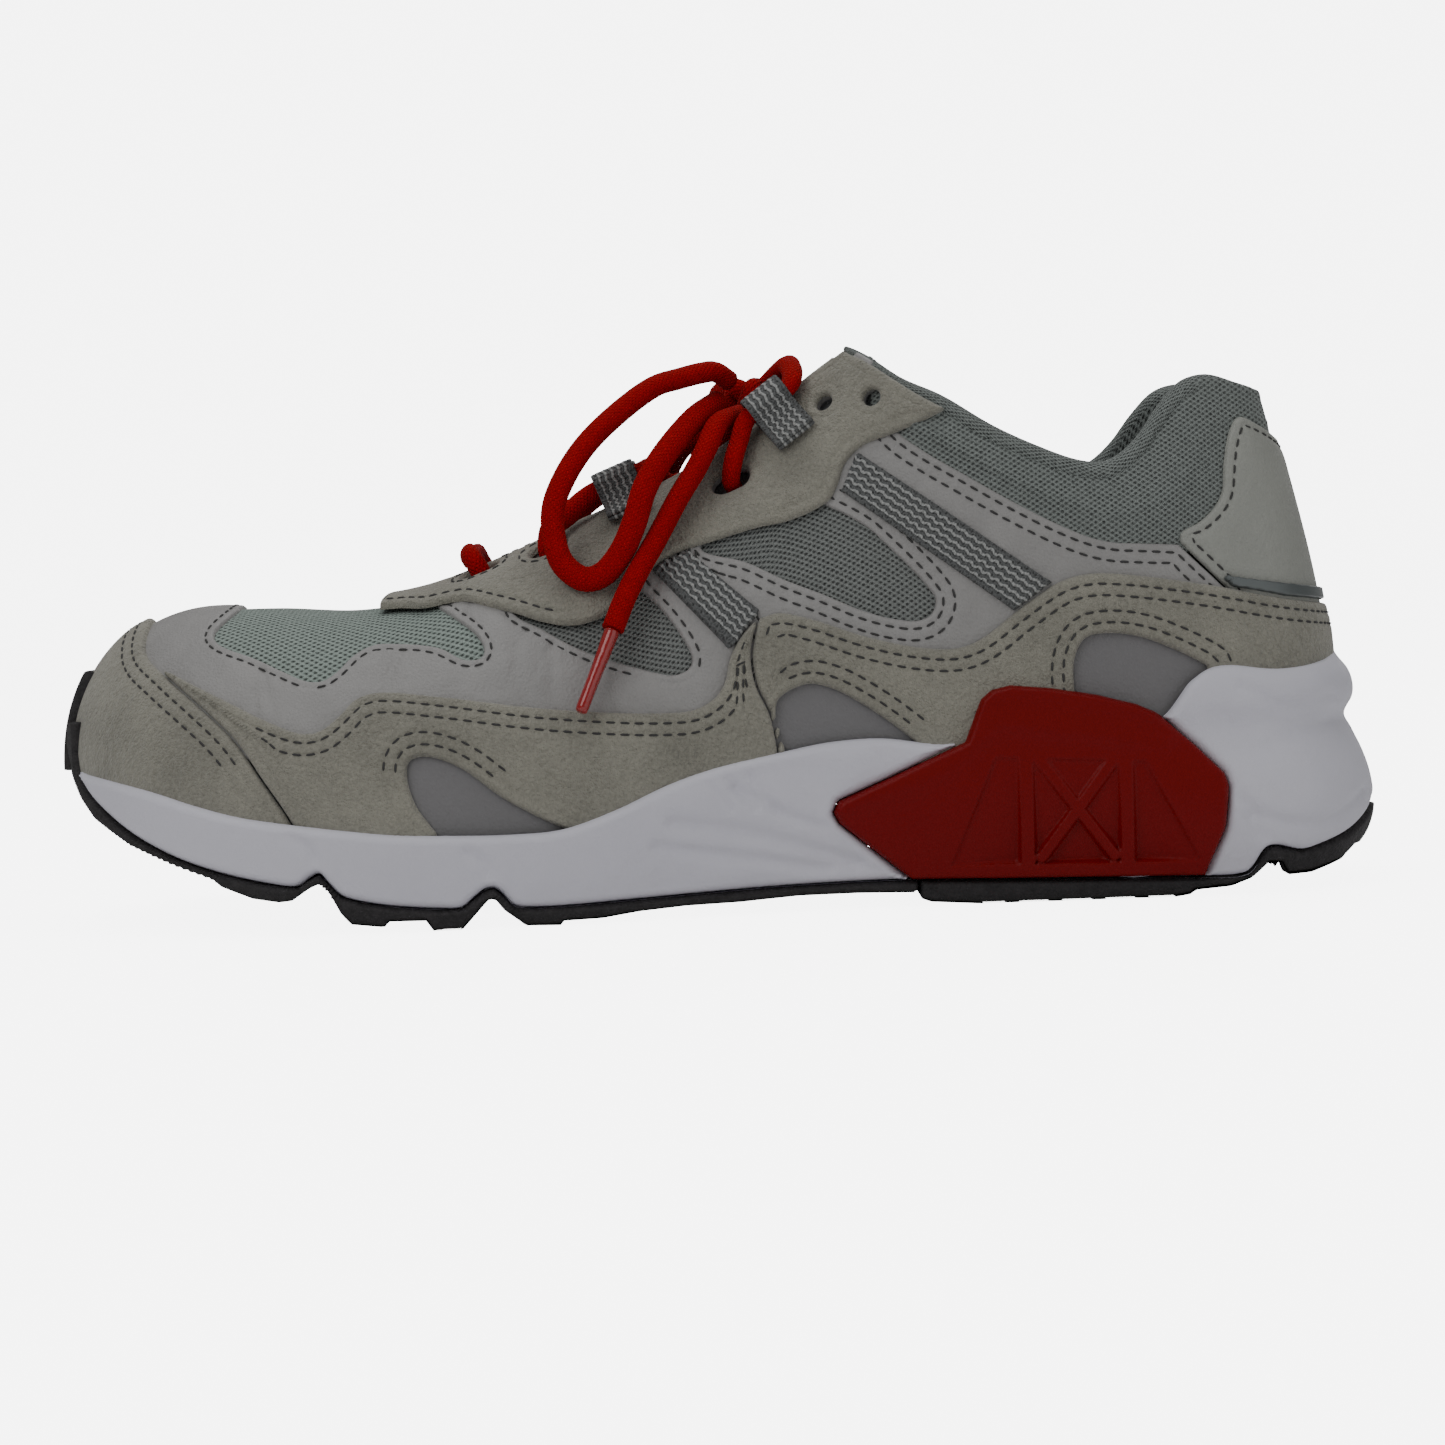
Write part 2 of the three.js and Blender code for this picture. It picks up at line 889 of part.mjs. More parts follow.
function makeClip() {
  const plates = soleBlock(clipProud).subtract(soleBlock(-clipDepth)).intersect(across(clipShape));
  const bridge = soleBlock(0).intersect(bridgeBlock(0));
  return plates.add(bridge).subtract(upperSeat);
}

function makeOutsoleForefoot() {
  return wall.intersect(across(outsoleForefootProfile)).add(bumper).subtract(upperSeat);
}

function makeOutsoleHeel() {
  return wall.intersect(across(outsoleHeelProfile));
}

// A plate that follows the feather line inside the lining, between two heights over it.
function footPlate(bottom, top, inset, toe, heel) {
  const stations = 12;
  const low = [];
  const high = [];
  for (let k = 0; k <= stations; k += 1) {
    const x = THREE.MathUtils.lerp(toe * scaleX, heel * scaleX, k / stations);
    low.push(new THREE.Vector2(x, footHeight(x) + bottom));
    high.unshift(new THREE.Vector2(x, footHeight(x) + top));
  }
  return lastSolid(inset).intersect(across(new THREE.Shape([...low, ...high])));
}

// ---------------------------------------------------------------- inside of the upper
const countersTop = 78;
const foamBottom = 82;
const liningSplit = 46; // where the vamp lining ends and the heel lining begins

function makeHeelLining() {
  const blendFrom = (foamBottom - 34) * scaleZ;
  const blendTo = (foamBottom - 16) * scaleZ;
  const outer = (p) =>
    THREE.MathUtils.lerp(insideCounter, insideFoam, THREE.MathUtils.smoothstep(p.z, blendFrom, blendTo));
  const inner = (p) => outer(p) - liningThickness;
  const body = lastSolid(outer).subtract(lastSolid(inner, 8));
  const region = outline([[liningSplit + gap, 0]], [[160, 0]], [[160, 130]], [[liningSplit + gap, 130]]);
  return body.intersect(across(region)).intersect(underTopline);
}

// ---------------------------------------------------------------- straps and lace loops
function quadOutline(corners) {
  return new THREE.Shape(corners.map(mm));
}
const frontStrapCorners = [
  [3.6, 57.8],
  [10.6, 66],
  [-4.6, 79.6],
  [-13.6, 76.6],
];
const rearStrapCorners = [
  [66.6, 64.2],
  [75, 70.2],
  [33.4, 100.6],
  [29.6, 92],
];

// Everything in the suede layer that a strap has to stop short of.
function strap(corners, side, covers) {
  let piece = lastLayer([suedeLayer[0], suedeLayer[0] + webbingThickness])
    .intersect(across(quadOutline(corners), ...side))
    .subtract(throat);
  for (const cover of covers) piece = piece.subtract(cover);
  return piece;
}

// Nearest point of the last to a plan position, with its normal.
function onLast(x, y) {
  const aroundSamples = 400;
  const upSamples = 60;
  let best = null;
  const from = y < 0 ? 0.1 : 0.5;
  for (let i = 0; i <= aroundSamples; i += 1) {
    const around = from + (0.4 * i) / aroundSamples;
    for (let j = upSamples / 2; j < upSamples; j += 1) {
      const p = lastPoint(around, j / upSamples);
      const distance = Math.hypot(p.x - x, p.y - y);
      if (!best || distance < best.distance) best = { distance, around, up: j / upSamples, p };
    }
  }
  const step = 0.01;
  const a = lastPoint(best.around + step, best.up).sub(lastPoint(best.around - step, best.up));
  const b = lastPoint(best.around, best.up + step).sub(lastPoint(best.around, best.up - step));
  const normal = new THREE.Vector3().crossVectors(b, a).normalize();
  if (normal.z < 0) normal.negate();
  return { point: best.p, normal };
}

const over = (x, y, height) => {
  const { point, normal } = onLast(x * scaleX, y * scaleY);
  return point.clone().addScaledVector(normal, height);
};

// Lace rows from the toe end up: where the lace enters the facing, as x and distance from the centre.
const holeRows = [
  { name: "first", x: -51, y: 14 },
  { name: "second", x: -35, y: 18 },
  { name: "fourth", x: 6, y: 19 },
];
const loopRows = [
  { name: "lower", x: -17, y: 12 },
  { name: "upper", x: 18, y: 13.5 },
];
const spareEyelets = [
  { x: 28.5, y: 17.5 },
  { x: 38, y: 21.5 },
];
const laceHoleRadius = laceRadius + 0.9;
const liningCutBack = 1.6; // the lining is cut back round the lace holes
const slotStretch = 1.6; // the lace holes are slots that run along the facing

const drillSides = 6;
function holeAt(x, y, radius, stretch = 1) {
  const { point, normal } = onLast(x * scaleX, y * scaleY);
  const drill = new THREE.CylinderGeometry(radius, radius, 24, drillSides);
  drill.scale(stretch, 1, 1);
  const turn = new THREE.Quaternion().setFromUnitVectors(new THREE.Vector3(0, 1, 0), normal);
  drill.applyQuaternion(turn);
  drill.translate(point.x, point.y, point.z);
  return solidOf(drill);
}

const slotHoles = (radius) =>
  holeRows.flatMap(({ x, y }) => [-y, y].map((across) => holeAt(x, across, radius, slotStretch)));
const laceHoles = slotHoles(laceHoleRadius);
const liningHoles = slotHoles(laceHoleRadius + liningCutBack);
const eyeletHoles = spareEyelets.flatMap(({ x, y }) => [-y, y].map((side) => holeAt(x, side, eyeletRadius)));
const facingHoles = [...laceHoles, ...eyeletHoles];

const laceSeat = suedeLayer[1] + gap; // underside of whatever lies on the suede
const loopBore = laceRadius + 3 * gap;
const loopWall = webbingThickness;
const loopTabLength = 11;

// A folded webbing loop: a ring round the lace with a doubled tab behind it, lying on the suede.
function laceLoop(row, sign) {
  const profile = new THREE.Shape();
  const outer = loopBore + loopWall;
  profile.absarc(0, 0, outer, Math.PI * 0.5, Math.PI * 1.5, false);
  profile.lineTo(loopTabLength, -outer);
  profile.lineTo(loopTabLength, -outer + 2 * loopWall);
  profile.lineTo(outer, -outer + 2 * loopWall);
  profile.lineTo(outer * 0.8, outer * 0.6);
  const bore = new THREE.Path();
  bore.absarc(0, 0, loopBore, 0, Math.PI * 2, true);
  profile.holes.push(bore);
  const settings = { depth: loopWidth, bevelEnabled: false, curveSegments: 5 };
  const body = new THREE.ExtrudeGeometry(profile, settings);
  body.translate(0, 0, -loopWidth / 2);
  const { frame, centre } = loopFrame(row, sign);
  body.applyMatrix4(frame.clone().setPosition(centre));
  return solidOf(body);
}

// The loop's own axes: towards its tab, out of the surface and along the lace.
function loopFrame({ x, y }, sign) {
  const { point, normal } = onLast(x * scaleX, sign * y * scaleY);
  const outer = loopBore + loopWall;
  const centre = point.clone().addScaledVector(normal, laceSeat + outer + gap);
  const rise = over(x + 6, sign * y, 0).sub(over(x - 6, sign * y, 0)).normalize();
  const tab = new THREE.Vector3().crossVectors(rise, normal).multiplyScalar(sign).normalize();
  if (tab.y * sign < 0) tab.negate();
  const lace = new THREE.Vector3().crossVectors(tab, normal).normalize();
  return { frame: new THREE.Matrix4().makeBasis(tab, normal, lace), centre, lace };
}

// ---------------------------------------------------------------- laces
const cordSides = 8;
function cord(points, radius, steps) {
  const path = new THREE.CatmullRomCurve3(points, false, "centripetal");
  const section = new THREE.Shape();
  for (let k = 0; k < cordSides; k += 1) {
    const turn = (2 * Math.PI * k) / cordSides;
    section[k === 0 ? "moveTo" : "lineTo"](radius * Math.cos(turn), radius * Math.sin(turn));
  }
  section.closePath();
  return new THREE.ExtrudeGeometry(section, { steps, bevelEnabled: false, extrudePath: path });
}

// Heights over the last at which the lace runs.
const overEyestay = laceSeat + laceRadius + 2 * gap;
const underFacing = liningLayer[0] - laceRadius - 2 * gap;
const barHeight = overEyestay;
const crossingRise = 2 * laceRadius + 2 * gap; // one stretch passes this much above the other
const knotCentre = over(15, 0, 7.6);
const knotRadii = [5.5, 6, 4.4];

// From the knot through the upper loop, the fourth row, the lower loop and the second row to the first.
function laceRoute(sign, lift) {
  const through = (row, side) => {
    const { centre, lace } = loopFrame(row, side);
    const reach = lace.clone().multiplyScalar((loopWidth / 2 + 1) * Math.sign(lace.x));
    return [centre.clone().add(reach), centre.clone().sub(reach)];
  };
  const rise = lift * crossingRise;
  const [, second, fourth] = holeRows;
  const [lower, upper] = loopRows;
  const dive = ({ x, y }, side) => [
    over(x + 2.2, side * (y - 0.6), overEyestay),
    over(x, side * y, laceSeat - 1.5),
    over(x, side * y, suedeLayer[0] - 1),
    over(x - 0.8, side * (y - 1), underFacing + 1),
  ];
  return [
    over(22.5, sign * 3.2, 7),
    over(25, sign * 8, 8),
    ...through(upper, sign),
    over(10.5, sign * 16, overEyestay + 0.8),
    ...dive(fourth, sign),
    over(fourth.x - 4.5, sign * 9, underFacing),
    over(-4, 0, underFacing + rise),
    over(-7, -sign * 5.4, underFacing + 1 + rise),
    over(-8.2, -sign * 7, 2 + rise * 0.3),
    over(-9.2, -sign * 8.2, 7.4),
    ...through(lower, -sign),
    over(-29, -sign * 15, overEyestay + 0.8),
    ...dive(second, -sign),
    over(-38.5, -sign * 9, underFacing),
    over(-43, 0, underFacing + rise),
    over(-47.5, sign * 9, underFacing - 3 * gap),
    over(-50.2, sign * 13, underFacing + gap),
    over(-51, sign * 14, 0),
    over(-51, sign * 14.2, 3.6),
    over(-51.4, sign * 12.8, 6.8),
    over(-52, sign * 9.6, barHeight + 0.6),
  ];
}

function makeLace() {
  const medialHalf = laceRoute(-1, 0);
  const lateralHalf = laceRoute(1, 1);
  // Each half ends on its own side of the first row, and the bar joins them over the throat.
  const route = [...medialHalf, over(-52.4, 0, barHeight), ...lateralHalf.reverse()];
  return solidOf(cord(route, laceRadius, laceSteps));
}

// The free stretches, from the knot outwards: x, y, z on a shoe of the pattern's size.
const bowLoopMedial = [
  [5.6, -7.6, 118.4],
  [2.4, -10.6, 120.4],
  [-0.7, -12.5, 120.1],
  [-5.9, -15, 118.8],
  [-11.1, -18, 117.2],
  [-19.8, -23, 111],
  [-27.2, -27, 103.8],
  [-32, -30, 96.5],
  [-34.4, -31.5, 90.2],
  [-34.3, -33, 83.6],
  [-32.5, -34.5, 78],
  [-27.9, -36, 74.5],
  [-23.9, -36.5, 75.3],
  [-19.8, -35.5, 79.7],
  [-16.6, -34.5, 86.2],
  [-14.1, -32.5, 93.7],
  [-11.1, -29.5, 99.1],
  [-7, -24.5, 104.6],
  [-2, -17.4, 110],
  [3, -8.8, 113.6],
];
const laceEndMedial = [
  [7.4, -10.6, 110.4],
  [2.6, -19.8, 108],
  [0, -24.4, 102.8],
  [-2.6, -26.5, 98],
  [-6.6, -29.5, 91.8],
  [-11.6, -33, 83],
  [-15.8, -36.4, 76],
  [-19.2, -39.4, 69.6],
  [-21.8, -41.8, 63.4],
];
const bowLoopLateral = [
  [4, 7, 113],
  [0.6, 13, 109.8],
  [-1, 20, 106],
  [-1.6, 27, 99.8],
  [-1.6, 33.4, 91.6],
  [-1.4, 39, 82.4],
  [0, 43.6, 73],
  [3.6, 47, 65.4],
  [9.4, 47.4, 63.4],
  [13.6, 45.8, 68.4],
  [14.6, 43, 77.2],
  [13, 40, 87],
  [9.6, 36, 96],
  [6, 30.2, 103.8],
  [3.6, 23, 111],
  [3.4, 15.4, 115.8],
  [6.4, 8, 118.2],
];
const laceEndLateral = [
  [0, 5.2, 108.4],
  [-5, 10.2, 104.8],
  [-8.4, 17, 100.8],
  [-10.4, 25, 95.2],
  [-11.2, 32.2, 87.6],
  [-11.6, 38.8, 78.6],
  [-12, 44.6, 69],
  [-12.4, 48.4, 59.4],
];
const agletLength = 20;
const laceSteps = 72;
const bowSteps = 24;
const endSteps = 14;

const placed = (points) => points.map(([x, y, z]) => new THREE.Vector3(x * scaleX, y * scaleY, z * scaleZ));

// The aglet carries straight on from the end of its lace.
function makeAglet(points) {
  const [before, tip] = placed(points).slice(-2);
  const along = tip.clone().sub(before).normalize();
  const start = tip.clone().addScaledVector(along, gap);
  const sleeve = new THREE.CylinderGeometry(agletRadius, bowRadius * 0.85, agletLength, 8);
  sleeve.translate(0, agletLength / 2, 0);
  sleeve.applyQuaternion(new THREE.Quaternion().setFromUnitVectors(new THREE.Vector3(0, 1, 0), along));
  sleeve.translate(start.x, start.y, start.z);
  return solidOf(sleeve);
}

function makeKnot() {
  const lump = new THREE.SphereGeometry(1, 12, 8);
  lump.scale(...knotRadii);
  lump.translate(knotCentre.x, knotCentre.y, knotCentre.z);
  return solidOf(lump);
}

// ---------------------------------------------------------------- the assembly
const shoe = new THREE.Group();
function look(color, roughness, metalness = 0) {
  return new THREE.MeshStandardMaterial({ color, roughness, metalness });
}
const finishes = {
  suede: look(0xa3a092, 0.95),
  leather: look(0x9b999b, 0.6),
  knit: look(0x7d8484, 0.9),
  lining: look(0x8b8f92, 0.95),
  midsole: look(0xd9d9e2, 0.7),
  rubber: look(0x2b2d2b, 0.85),
  clip: look(0x9c0b0b, 0.35),
  lace: look(0xc4120f, 0.9),
  webbing: look(0x8e9090, 0.8),
  reflective: look(0x5f6566, 0.4),
  board: look(0xc9bfa8, 0.95),
  foam: look(0xd8d8d0, 1.0),
  plastic: look(0xb8b8b8, 0.6),
};

function place(name, solid, finish) {
  const mesh = solid.getMesh();
  const geometry = new THREE.BufferGeometry();
  geometry.setAttribute("position", new THREE.BufferAttribute(Float32Array.from(mesh.vertProperties), 3));
  geometry.setIndex(new THREE.BufferAttribute(Uint32Array.from(mesh.triVerts), 1));
  geometry.computeVertexNormals();
  const node = new THREE.Mesh(geometry, finishes[finish]);
  node.name = name;
  shoe.add(node);
}

place("midsole", makeMidsole(), "midsole");
place("stabiliser_clip", makeClip(), "clip");
place("outsole_forefoot", makeOutsoleForefoot(), "rubber");
place("outsole_heel", makeOutsoleHeel(), "rubber");

const toeCapShape = outline(toeCapRear, [[-90, belowSole]], [[-170, belowSole]], [[-170, 85]], [[-129, 85]]);
const toeCapRoom = outline(
  toeCapRear.map(([x, z]) => [x + gap * 1.4, z]),
  [[-89.6, belowSole]],
  [[-170, belowSole]],
  [[-170, 85]],
  [[-128.6, 85]],
);
place("toe_cap", panel(suedeLayer, toeCapShape), "suede");
const mudguardEnd = [
  [13.5, belowSole],
  [-122, belowSole],
  [-122, 57],
];
const mudguardShape = outline(mudguardTop, sideSeam.slice(1), mudguardEnd);
for (const [side, reach] of Object.entries(sides)) {
  place(
    `mudguard_${side}`,
    panel(suedeLayer, mudguardShape, reach, across(toeCapRoom), across(frontWindow)),
    "suede",
  );
}
const foxingShape = outline(
  foxingTop,
  [[150, belowSole]],
  [[13.9, belowSole]],
  reversed(sideSeam).map(([x, z]) => [x + gap * 1.4, z]),
);
place("foxing", panel(suedeLayer, foxingShape, undefined, across(middleWindow), across(rearWindow)), "suede");
const facingBack = [
  [52.6, 109.6],
  [46.4, 113.4],
  [36, 121.2],
  [31, 124.6],
  [26, 140],
  [-75.2, 140],
];
const eyestayShape = outline(eyestayLower, facingBack);
const eyestay = panel(suedeLayer, eyestayShape, undefined, ...facingHoles);
place("eyestay", eyestay, "suede");
const stripShape = outline(
  [
    [113.2, 70.4],
    [115.4, 68],
    [128, 65.3],
    [150, 62.6],
  ],
  [
    [150, 65.4],
    [128, 68.2],
    [113.2, 70.4],
  ],
);
place("heel_strip", panel(suedeLayer, stripShape), "reflective");

const vampLeatherShape = outline(
  [[-135, 90]],
  [[-135, 50]],
  [[-118, 42]],
  [[-100, 37]],
  [[-86, 38]],
  underlayTop.slice(0, 5).map(([x, z]) => [x, z + gap]),
  reversed(strapSeam).map(([x, z]) => [x - gap, z]),
  [[-14, 100]],
  [[-30, 120]],
);
const toeMeshOpening = outline(toeMeshEdge, [[-85, 95]]);
place(
  "vamp_leather",
  panel(
    leatherLayer,
    vampLeatherShape,
    undefined,
    across(toeMeshOpening),
    across(frontKnitWindow),
    ...laceHoles,
  ),
  "leather",
);
const quarterShape = outline(
  strapSeam,
  underlayTop.slice(5, 11).map(([x, z]) => [x, z + gap]),
  [[113, 62]],
  [[114.4, 67]],
  [[103.6, 77.6]],
  reversed(collarSeam).slice(0, 8),
  [[38, 126]],
  [[-12, 126]],
);
const underlayShape = outline(underlayTop, [[113, belowSole]], [[-75, belowSole]]);
const frontKnitShape = outline([
  [-48, 70],
  [-40, 60],
  [-27, 53],
  [-10, 48.6],
  [-2, 50],
  [-0.8, 58],
  [-6, 68],
  [-13, 79],
  [-22, 90],
  [-38, 84],
  [-48, 70],
]);
const rearKnitShape = outline([
  [-5, 82],
  [0, 74],
  [12, 69],
  [28, 62.5],
  [44, 58.6],
  [52, 62],
  [53.6, 68],
  [46, 80],
  [34, 90],
  [22, 96],
  [0, 92],
  [-5, 82],
]);
for (const [side, reach] of Object.entries(sides)) {
  const quarter = panel(leatherLayer, quarterShape, reach, across(rearKnitWindow), ...facingHoles);
  place(`quarter_${side}`, quarter, "leather");
  place(`underlay_${side}`, panel(leatherLayer, underlayShape, reach), "leather");
  place(`knit_front_${side}`, panel(textileLayer, frontKnitShape, reach, ...laceHoles), "knit");
  place(`knit_rear_${side}`, panel(textileLayer, rearKnitShape, reach, ...laceHoles), "knit");
  const suedeNear = [
    across(outline(mudguardTop.map(([x, z]) => [x, z + gap * 1.4]), [[14, 0]], [[-120, 0]])),
    across(outline(foxingTop.map(([x, z]) => [x, z + gap * 1.4]), [[150, 0]], [[9, 0]])),
    across(outline(eyestayLower.map(([x, z]) => [x + gap, z - gap * 1.4]), [[52, 140]], [[-75, 140]])),
  ];
  place(`strap_front_${side}`, strap(frontStrapCorners, reach, suedeNear), "webbing");
  place(`strap_rear_${side}`, strap(rearStrapCorners, reach, suedeNear), "webbing");
}
const heelPanelShape = outline(
  [[104.1, 78]],
  [[114.8, 67.2]],
  [[118, 58]],
  [[150, 56]],
  reversed(collarSeamRear),
);
place("heel_panel", panel(leatherLayer, heelPanelShape), "leather");

const vampMeshShape = outline(
  [
    [-114, 90],
    [-116, 62],
    [-100, 54],
    [-86, 49],
    [-74, 55],
    [-60, 55],
    [-50, 53.5],
    [-46, 58],
    [-50, 66],
    [-56, 74],
  ],
  [[-56, 95]],
);
place("vamp_mesh", panel(textileLayer, vampMeshShape), "knit");
const collarMeshShape = outline(
  collarSeam.map(([x, z]) => [x - 1, z - 5]),
  [[108, 76]],
  [[118, 84]],
  [[121, 98]],
  [[150, 95]],
  [[150, 130]],
  [[37, 130]],
);
place("collar_mesh", panel(textileLayer, collarMeshShape), "knit");

const vampLiningShape = outline([
  [-160, -2],
  [liningSplit - gap, -2],
  [liningSplit - gap, 140],
  [-160, 140],
]);
const toePuffShape = outline([[-160, 22]], [[-112, 22]], [[-118, 66]], [[-119, 80]], [[-160, 80]]);
place("vamp_lining", panel(liningLayer, vampLiningShape, undefined, ...liningHoles), "lining");
place("toe_puff", panel(textileLayer, toePuffShape), "plastic");
place("heel_lining", makeHeelLining(), "lining");
const counterShape = outline([[80, 0]], [[160, 0]], [[160, countersTop]], [[104, countersTop]], [[84, 56]]);
place("heel_counter", panel(counterLayer, counterShape), "plastic");
const foamShape = outline(
  [[50, 97]],
  [[64, 86]],
  [[84, foamBottom]],
  [[160, foamBottom]],
  [[160, 107]],
  topline.slice(4, 14).map(([x, z]) => [x, z - 1.5]).reverse(),
);
place("collar_foam", panel(foamLayer, foamShape), "foam");
const plateInset = liningLayer[0] - gap - 3;
const plateToe = -139;
const plateHeel = 131;
const insoleBoard = footPlate(0, insoleBoardThickness, plateInset, plateToe, plateHeel);
place("insole_board", insoleBoard, "board");
const socklinerBottom = insoleBoardThickness + gap;
const socklinerTop = socklinerBottom + socklinerThickness;
place("sockliner", footPlate(socklinerBottom, socklinerTop, plateInset, plateToe, plateHeel), "lining");

const tonguePlan = [
  [-56, -tongueHalfWidth * 0.7],
  [-30, -tongueHalfWidth * 0.9],
  [20, -tongueHalfWidth],
  [32, -tongueHalfWidth * 0.9],
  [32, tongueHalfWidth * 0.9],
  [20, tongueHalfWidth],
  [-30, tongueHalfWidth * 0.9],
  [-56, tongueHalfWidth * 0.7],
];
const tongueSide = outline([
  [-60, 48],
  [-50, 50],
  [0, 70],
  [20, 84],
  [34, 94],
  [34, 140],
  [-60, 140],
]);
const tongueShape = upright(tonguePlan, 30).intersect(across(tongueSide));
place("tongue_cover", lastLayer(tongueCoverLayer).intersect(tongueShape), "leather");
place("tongue_foam", lastLayer(tongueFoamLayer).intersect(tongueShape), "foam");
place("tongue_lining", lastLayer(tongueLiningLayer).intersect(tongueShape), "lining");

for (const [side, sign] of Object.entries({ medial: -1, lateral: 1 })) {
  for (const row of loopRows) place(`lace_loop_${row.name}_${side}`, laceLoop(row, sign), "webbing");
}
place("lace", makeLace(), "lace");
place("lace_knot", makeKnot(), "lace");
place("bow_loop_medial", solidOf(cord(placed(bowLoopMedial), bowRadius, bowSteps)), "lace");
place("bow_loop_lateral", solidOf(cord(placed(bowLoopLateral), bowRadius, bowSteps)), "lace");
place("lace_end_medial", solidOf(cord(placed(laceEndMedial), bowRadius, endSteps)), "lace");
place("lace_end_lateral", solidOf(cord(placed(laceEndLateral), bowRadius, endSteps)), "lace");
place("aglet_medial", makeAglet(laceEndMedial), "clip");
place("aglet_lateral", makeAglet(laceEndLateral), "clip");

export default shoe;
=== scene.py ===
"""A right-foot lace-up bowling shoe in a running-trainer build: its look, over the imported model.

Shapes are worked out in millimetres in the model's own frame and placed in metres.
Toe towards -X, medial side towards -Y, the floor at z = 0.
"""

import logging
import math
from collections.abc import Callable, Iterable, Sequence
from dataclasses import dataclass, field
from enum import Enum

import bpy
import numpy as np
from mathutils import Matrix, Vector


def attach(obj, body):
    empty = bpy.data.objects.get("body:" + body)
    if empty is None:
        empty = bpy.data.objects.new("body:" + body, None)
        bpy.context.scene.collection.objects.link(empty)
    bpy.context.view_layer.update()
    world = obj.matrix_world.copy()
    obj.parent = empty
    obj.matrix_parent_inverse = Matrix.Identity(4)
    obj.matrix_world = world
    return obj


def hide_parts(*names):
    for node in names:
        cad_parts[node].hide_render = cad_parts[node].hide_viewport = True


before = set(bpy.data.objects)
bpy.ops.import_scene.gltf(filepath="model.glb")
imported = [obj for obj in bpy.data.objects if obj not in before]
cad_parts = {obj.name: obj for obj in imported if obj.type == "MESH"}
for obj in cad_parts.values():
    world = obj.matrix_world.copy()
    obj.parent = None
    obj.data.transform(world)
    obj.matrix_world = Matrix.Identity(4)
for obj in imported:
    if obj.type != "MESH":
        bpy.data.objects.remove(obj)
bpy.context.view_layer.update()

LOG = logging.getLogger("shoe")
MM = 0.001
SHOE = "shoe"
TONGUE = "tongue"

# ------------------------------------------------------------ sizes shared with the model, mm
GAP = 0.3
LINING = (-1.6, -0.3)
TEXTILE = (0.0, 1.1)
LEATHER = (1.4, 2.5)
SUEDE = (2.8, 4.3)
BUMPER = (4.6, 6.8)
LACE_RADIUS = 2.2
LACE_SEAT = SUEDE[1] + GAP
LOOP_BORE = LACE_RADIUS + 3 * GAP
LOOP_WALL = 1.1
LOOP_WIDTH = 10.0
LOOP_TAB = 11.0
TONGUE_TOP = LINING[0] - 2 * LACE_RADIUS - 6 * GAP
BELOW_SOLE = -4.0

# ------------------------------------------------------------ the last
HEEL_RIB = (139, 0, 122, 0, 1.5)
MEDIAL_RIBS = (
    (135.6, -15, 120.3, -9, 1.5), (127.5, -25, 116.5, -14.5, 1.48), (112, -31, 108, -18, 1.45),
    (86, -33, 86, -24, 1.45), (60, -33, 61, -23.5, 1.5), (34, -34, 43, -12, 1.6),
    (10, -36.5, 24, 0, 1.75), (-15, -42, 0, 0, 1.85), (-40, -47, -25, 0, 2.0),
    (-65, -49.4, -50, 0, 2.15), (-88, -48.3, -73, 0, 2.3), (-109, -43.2, -90, 0, 2.4),
    (-126, -33.2, -102, 0, 2.35), (-138, -19, -110, 0, 2.2),
)
TOE_RIB = (-144, -3, -113, 0, 2.15)
LATERAL_RIBS = (
    (-138.5, 13, -110, 0, 2.2), (-127, 27, -102, 0, 2.35), (-109.5, 37.4, -90, 0, 2.4),
    (-87, 45.4, -73, 0, 2.3), (-63, 49.2, -50, 0, 2.15), (-40, 49.6, -25, 0, 2.0),
    (-15, 46.4, 0, 0, 1.85), (10, 43, 24, 0, 1.75), (34, 39, 43, 12, 1.6),
    (60, 36, 61, 23.5, 1.5), (86, 34, 86, 24, 1.45), (112, 31.5, 108, 18, 1.45),
    (127.5, 25.5, 116.5, 14.5, 1.48), (135.6, 15.5, 120.3, 9, 1.5),
)
FEATHER_LINE = (
    (-150, 38), (-142, 34), (-134, 28.6), (-124, 23.2), (-112, 18.8), (-98, 16.2), (-70, 14),
    (-40, 13.5), (-20, 16), (0, 20), (30, 24), (70, 28), (110, 32), (150, 34),
)
RIDGE_LINE = (
    (-120, 68.5), (-100, 68.5), (-80, 67.5), (-60, 70.5), (-42, 77.5), (-25, 85.5), (0, 98),
    (15, 109), (28, 121), (45, 132), (60, 135), (90, 135), (125, 135),
)
FACING_TOP = 24.0
FRONT_WALL = ((-4, 4), (10, 6.2), (24, 6.8), (37, 5.8), (45, 5.4), (60, 5))
HEEL_WALL = (
    (-4, 5), (6, 8.2), (11, 10.8), (15.6, 11.9), (20.2, 12), (25, 11.2), (29.9, 9.5), (34, 7.6),
    (37.6, 6.3), (39.4, 6.8), (41.6, 7.8), (44.6, 8.0), (48, 6.9), (51, 4.6), (54, 3), (60, 2.5),
)
HEEL_FLARE = (84.0, 132.0)
HEEL_LEAN = 3.8  # how far the heel's upper end leans towards the toe
LEAN_X = (84, 124)
LEAN_Z = (54, 110)
HEEL_BACK_X = (98, 116)  # where the collar's padding thins out towards the back
HEEL_BACK_Z = (56, 76)
COLLAR_PUFF = 2.6
COLLAR_PUFF_WIDTH = 15.0
COLLAR_THINNING = 2.2

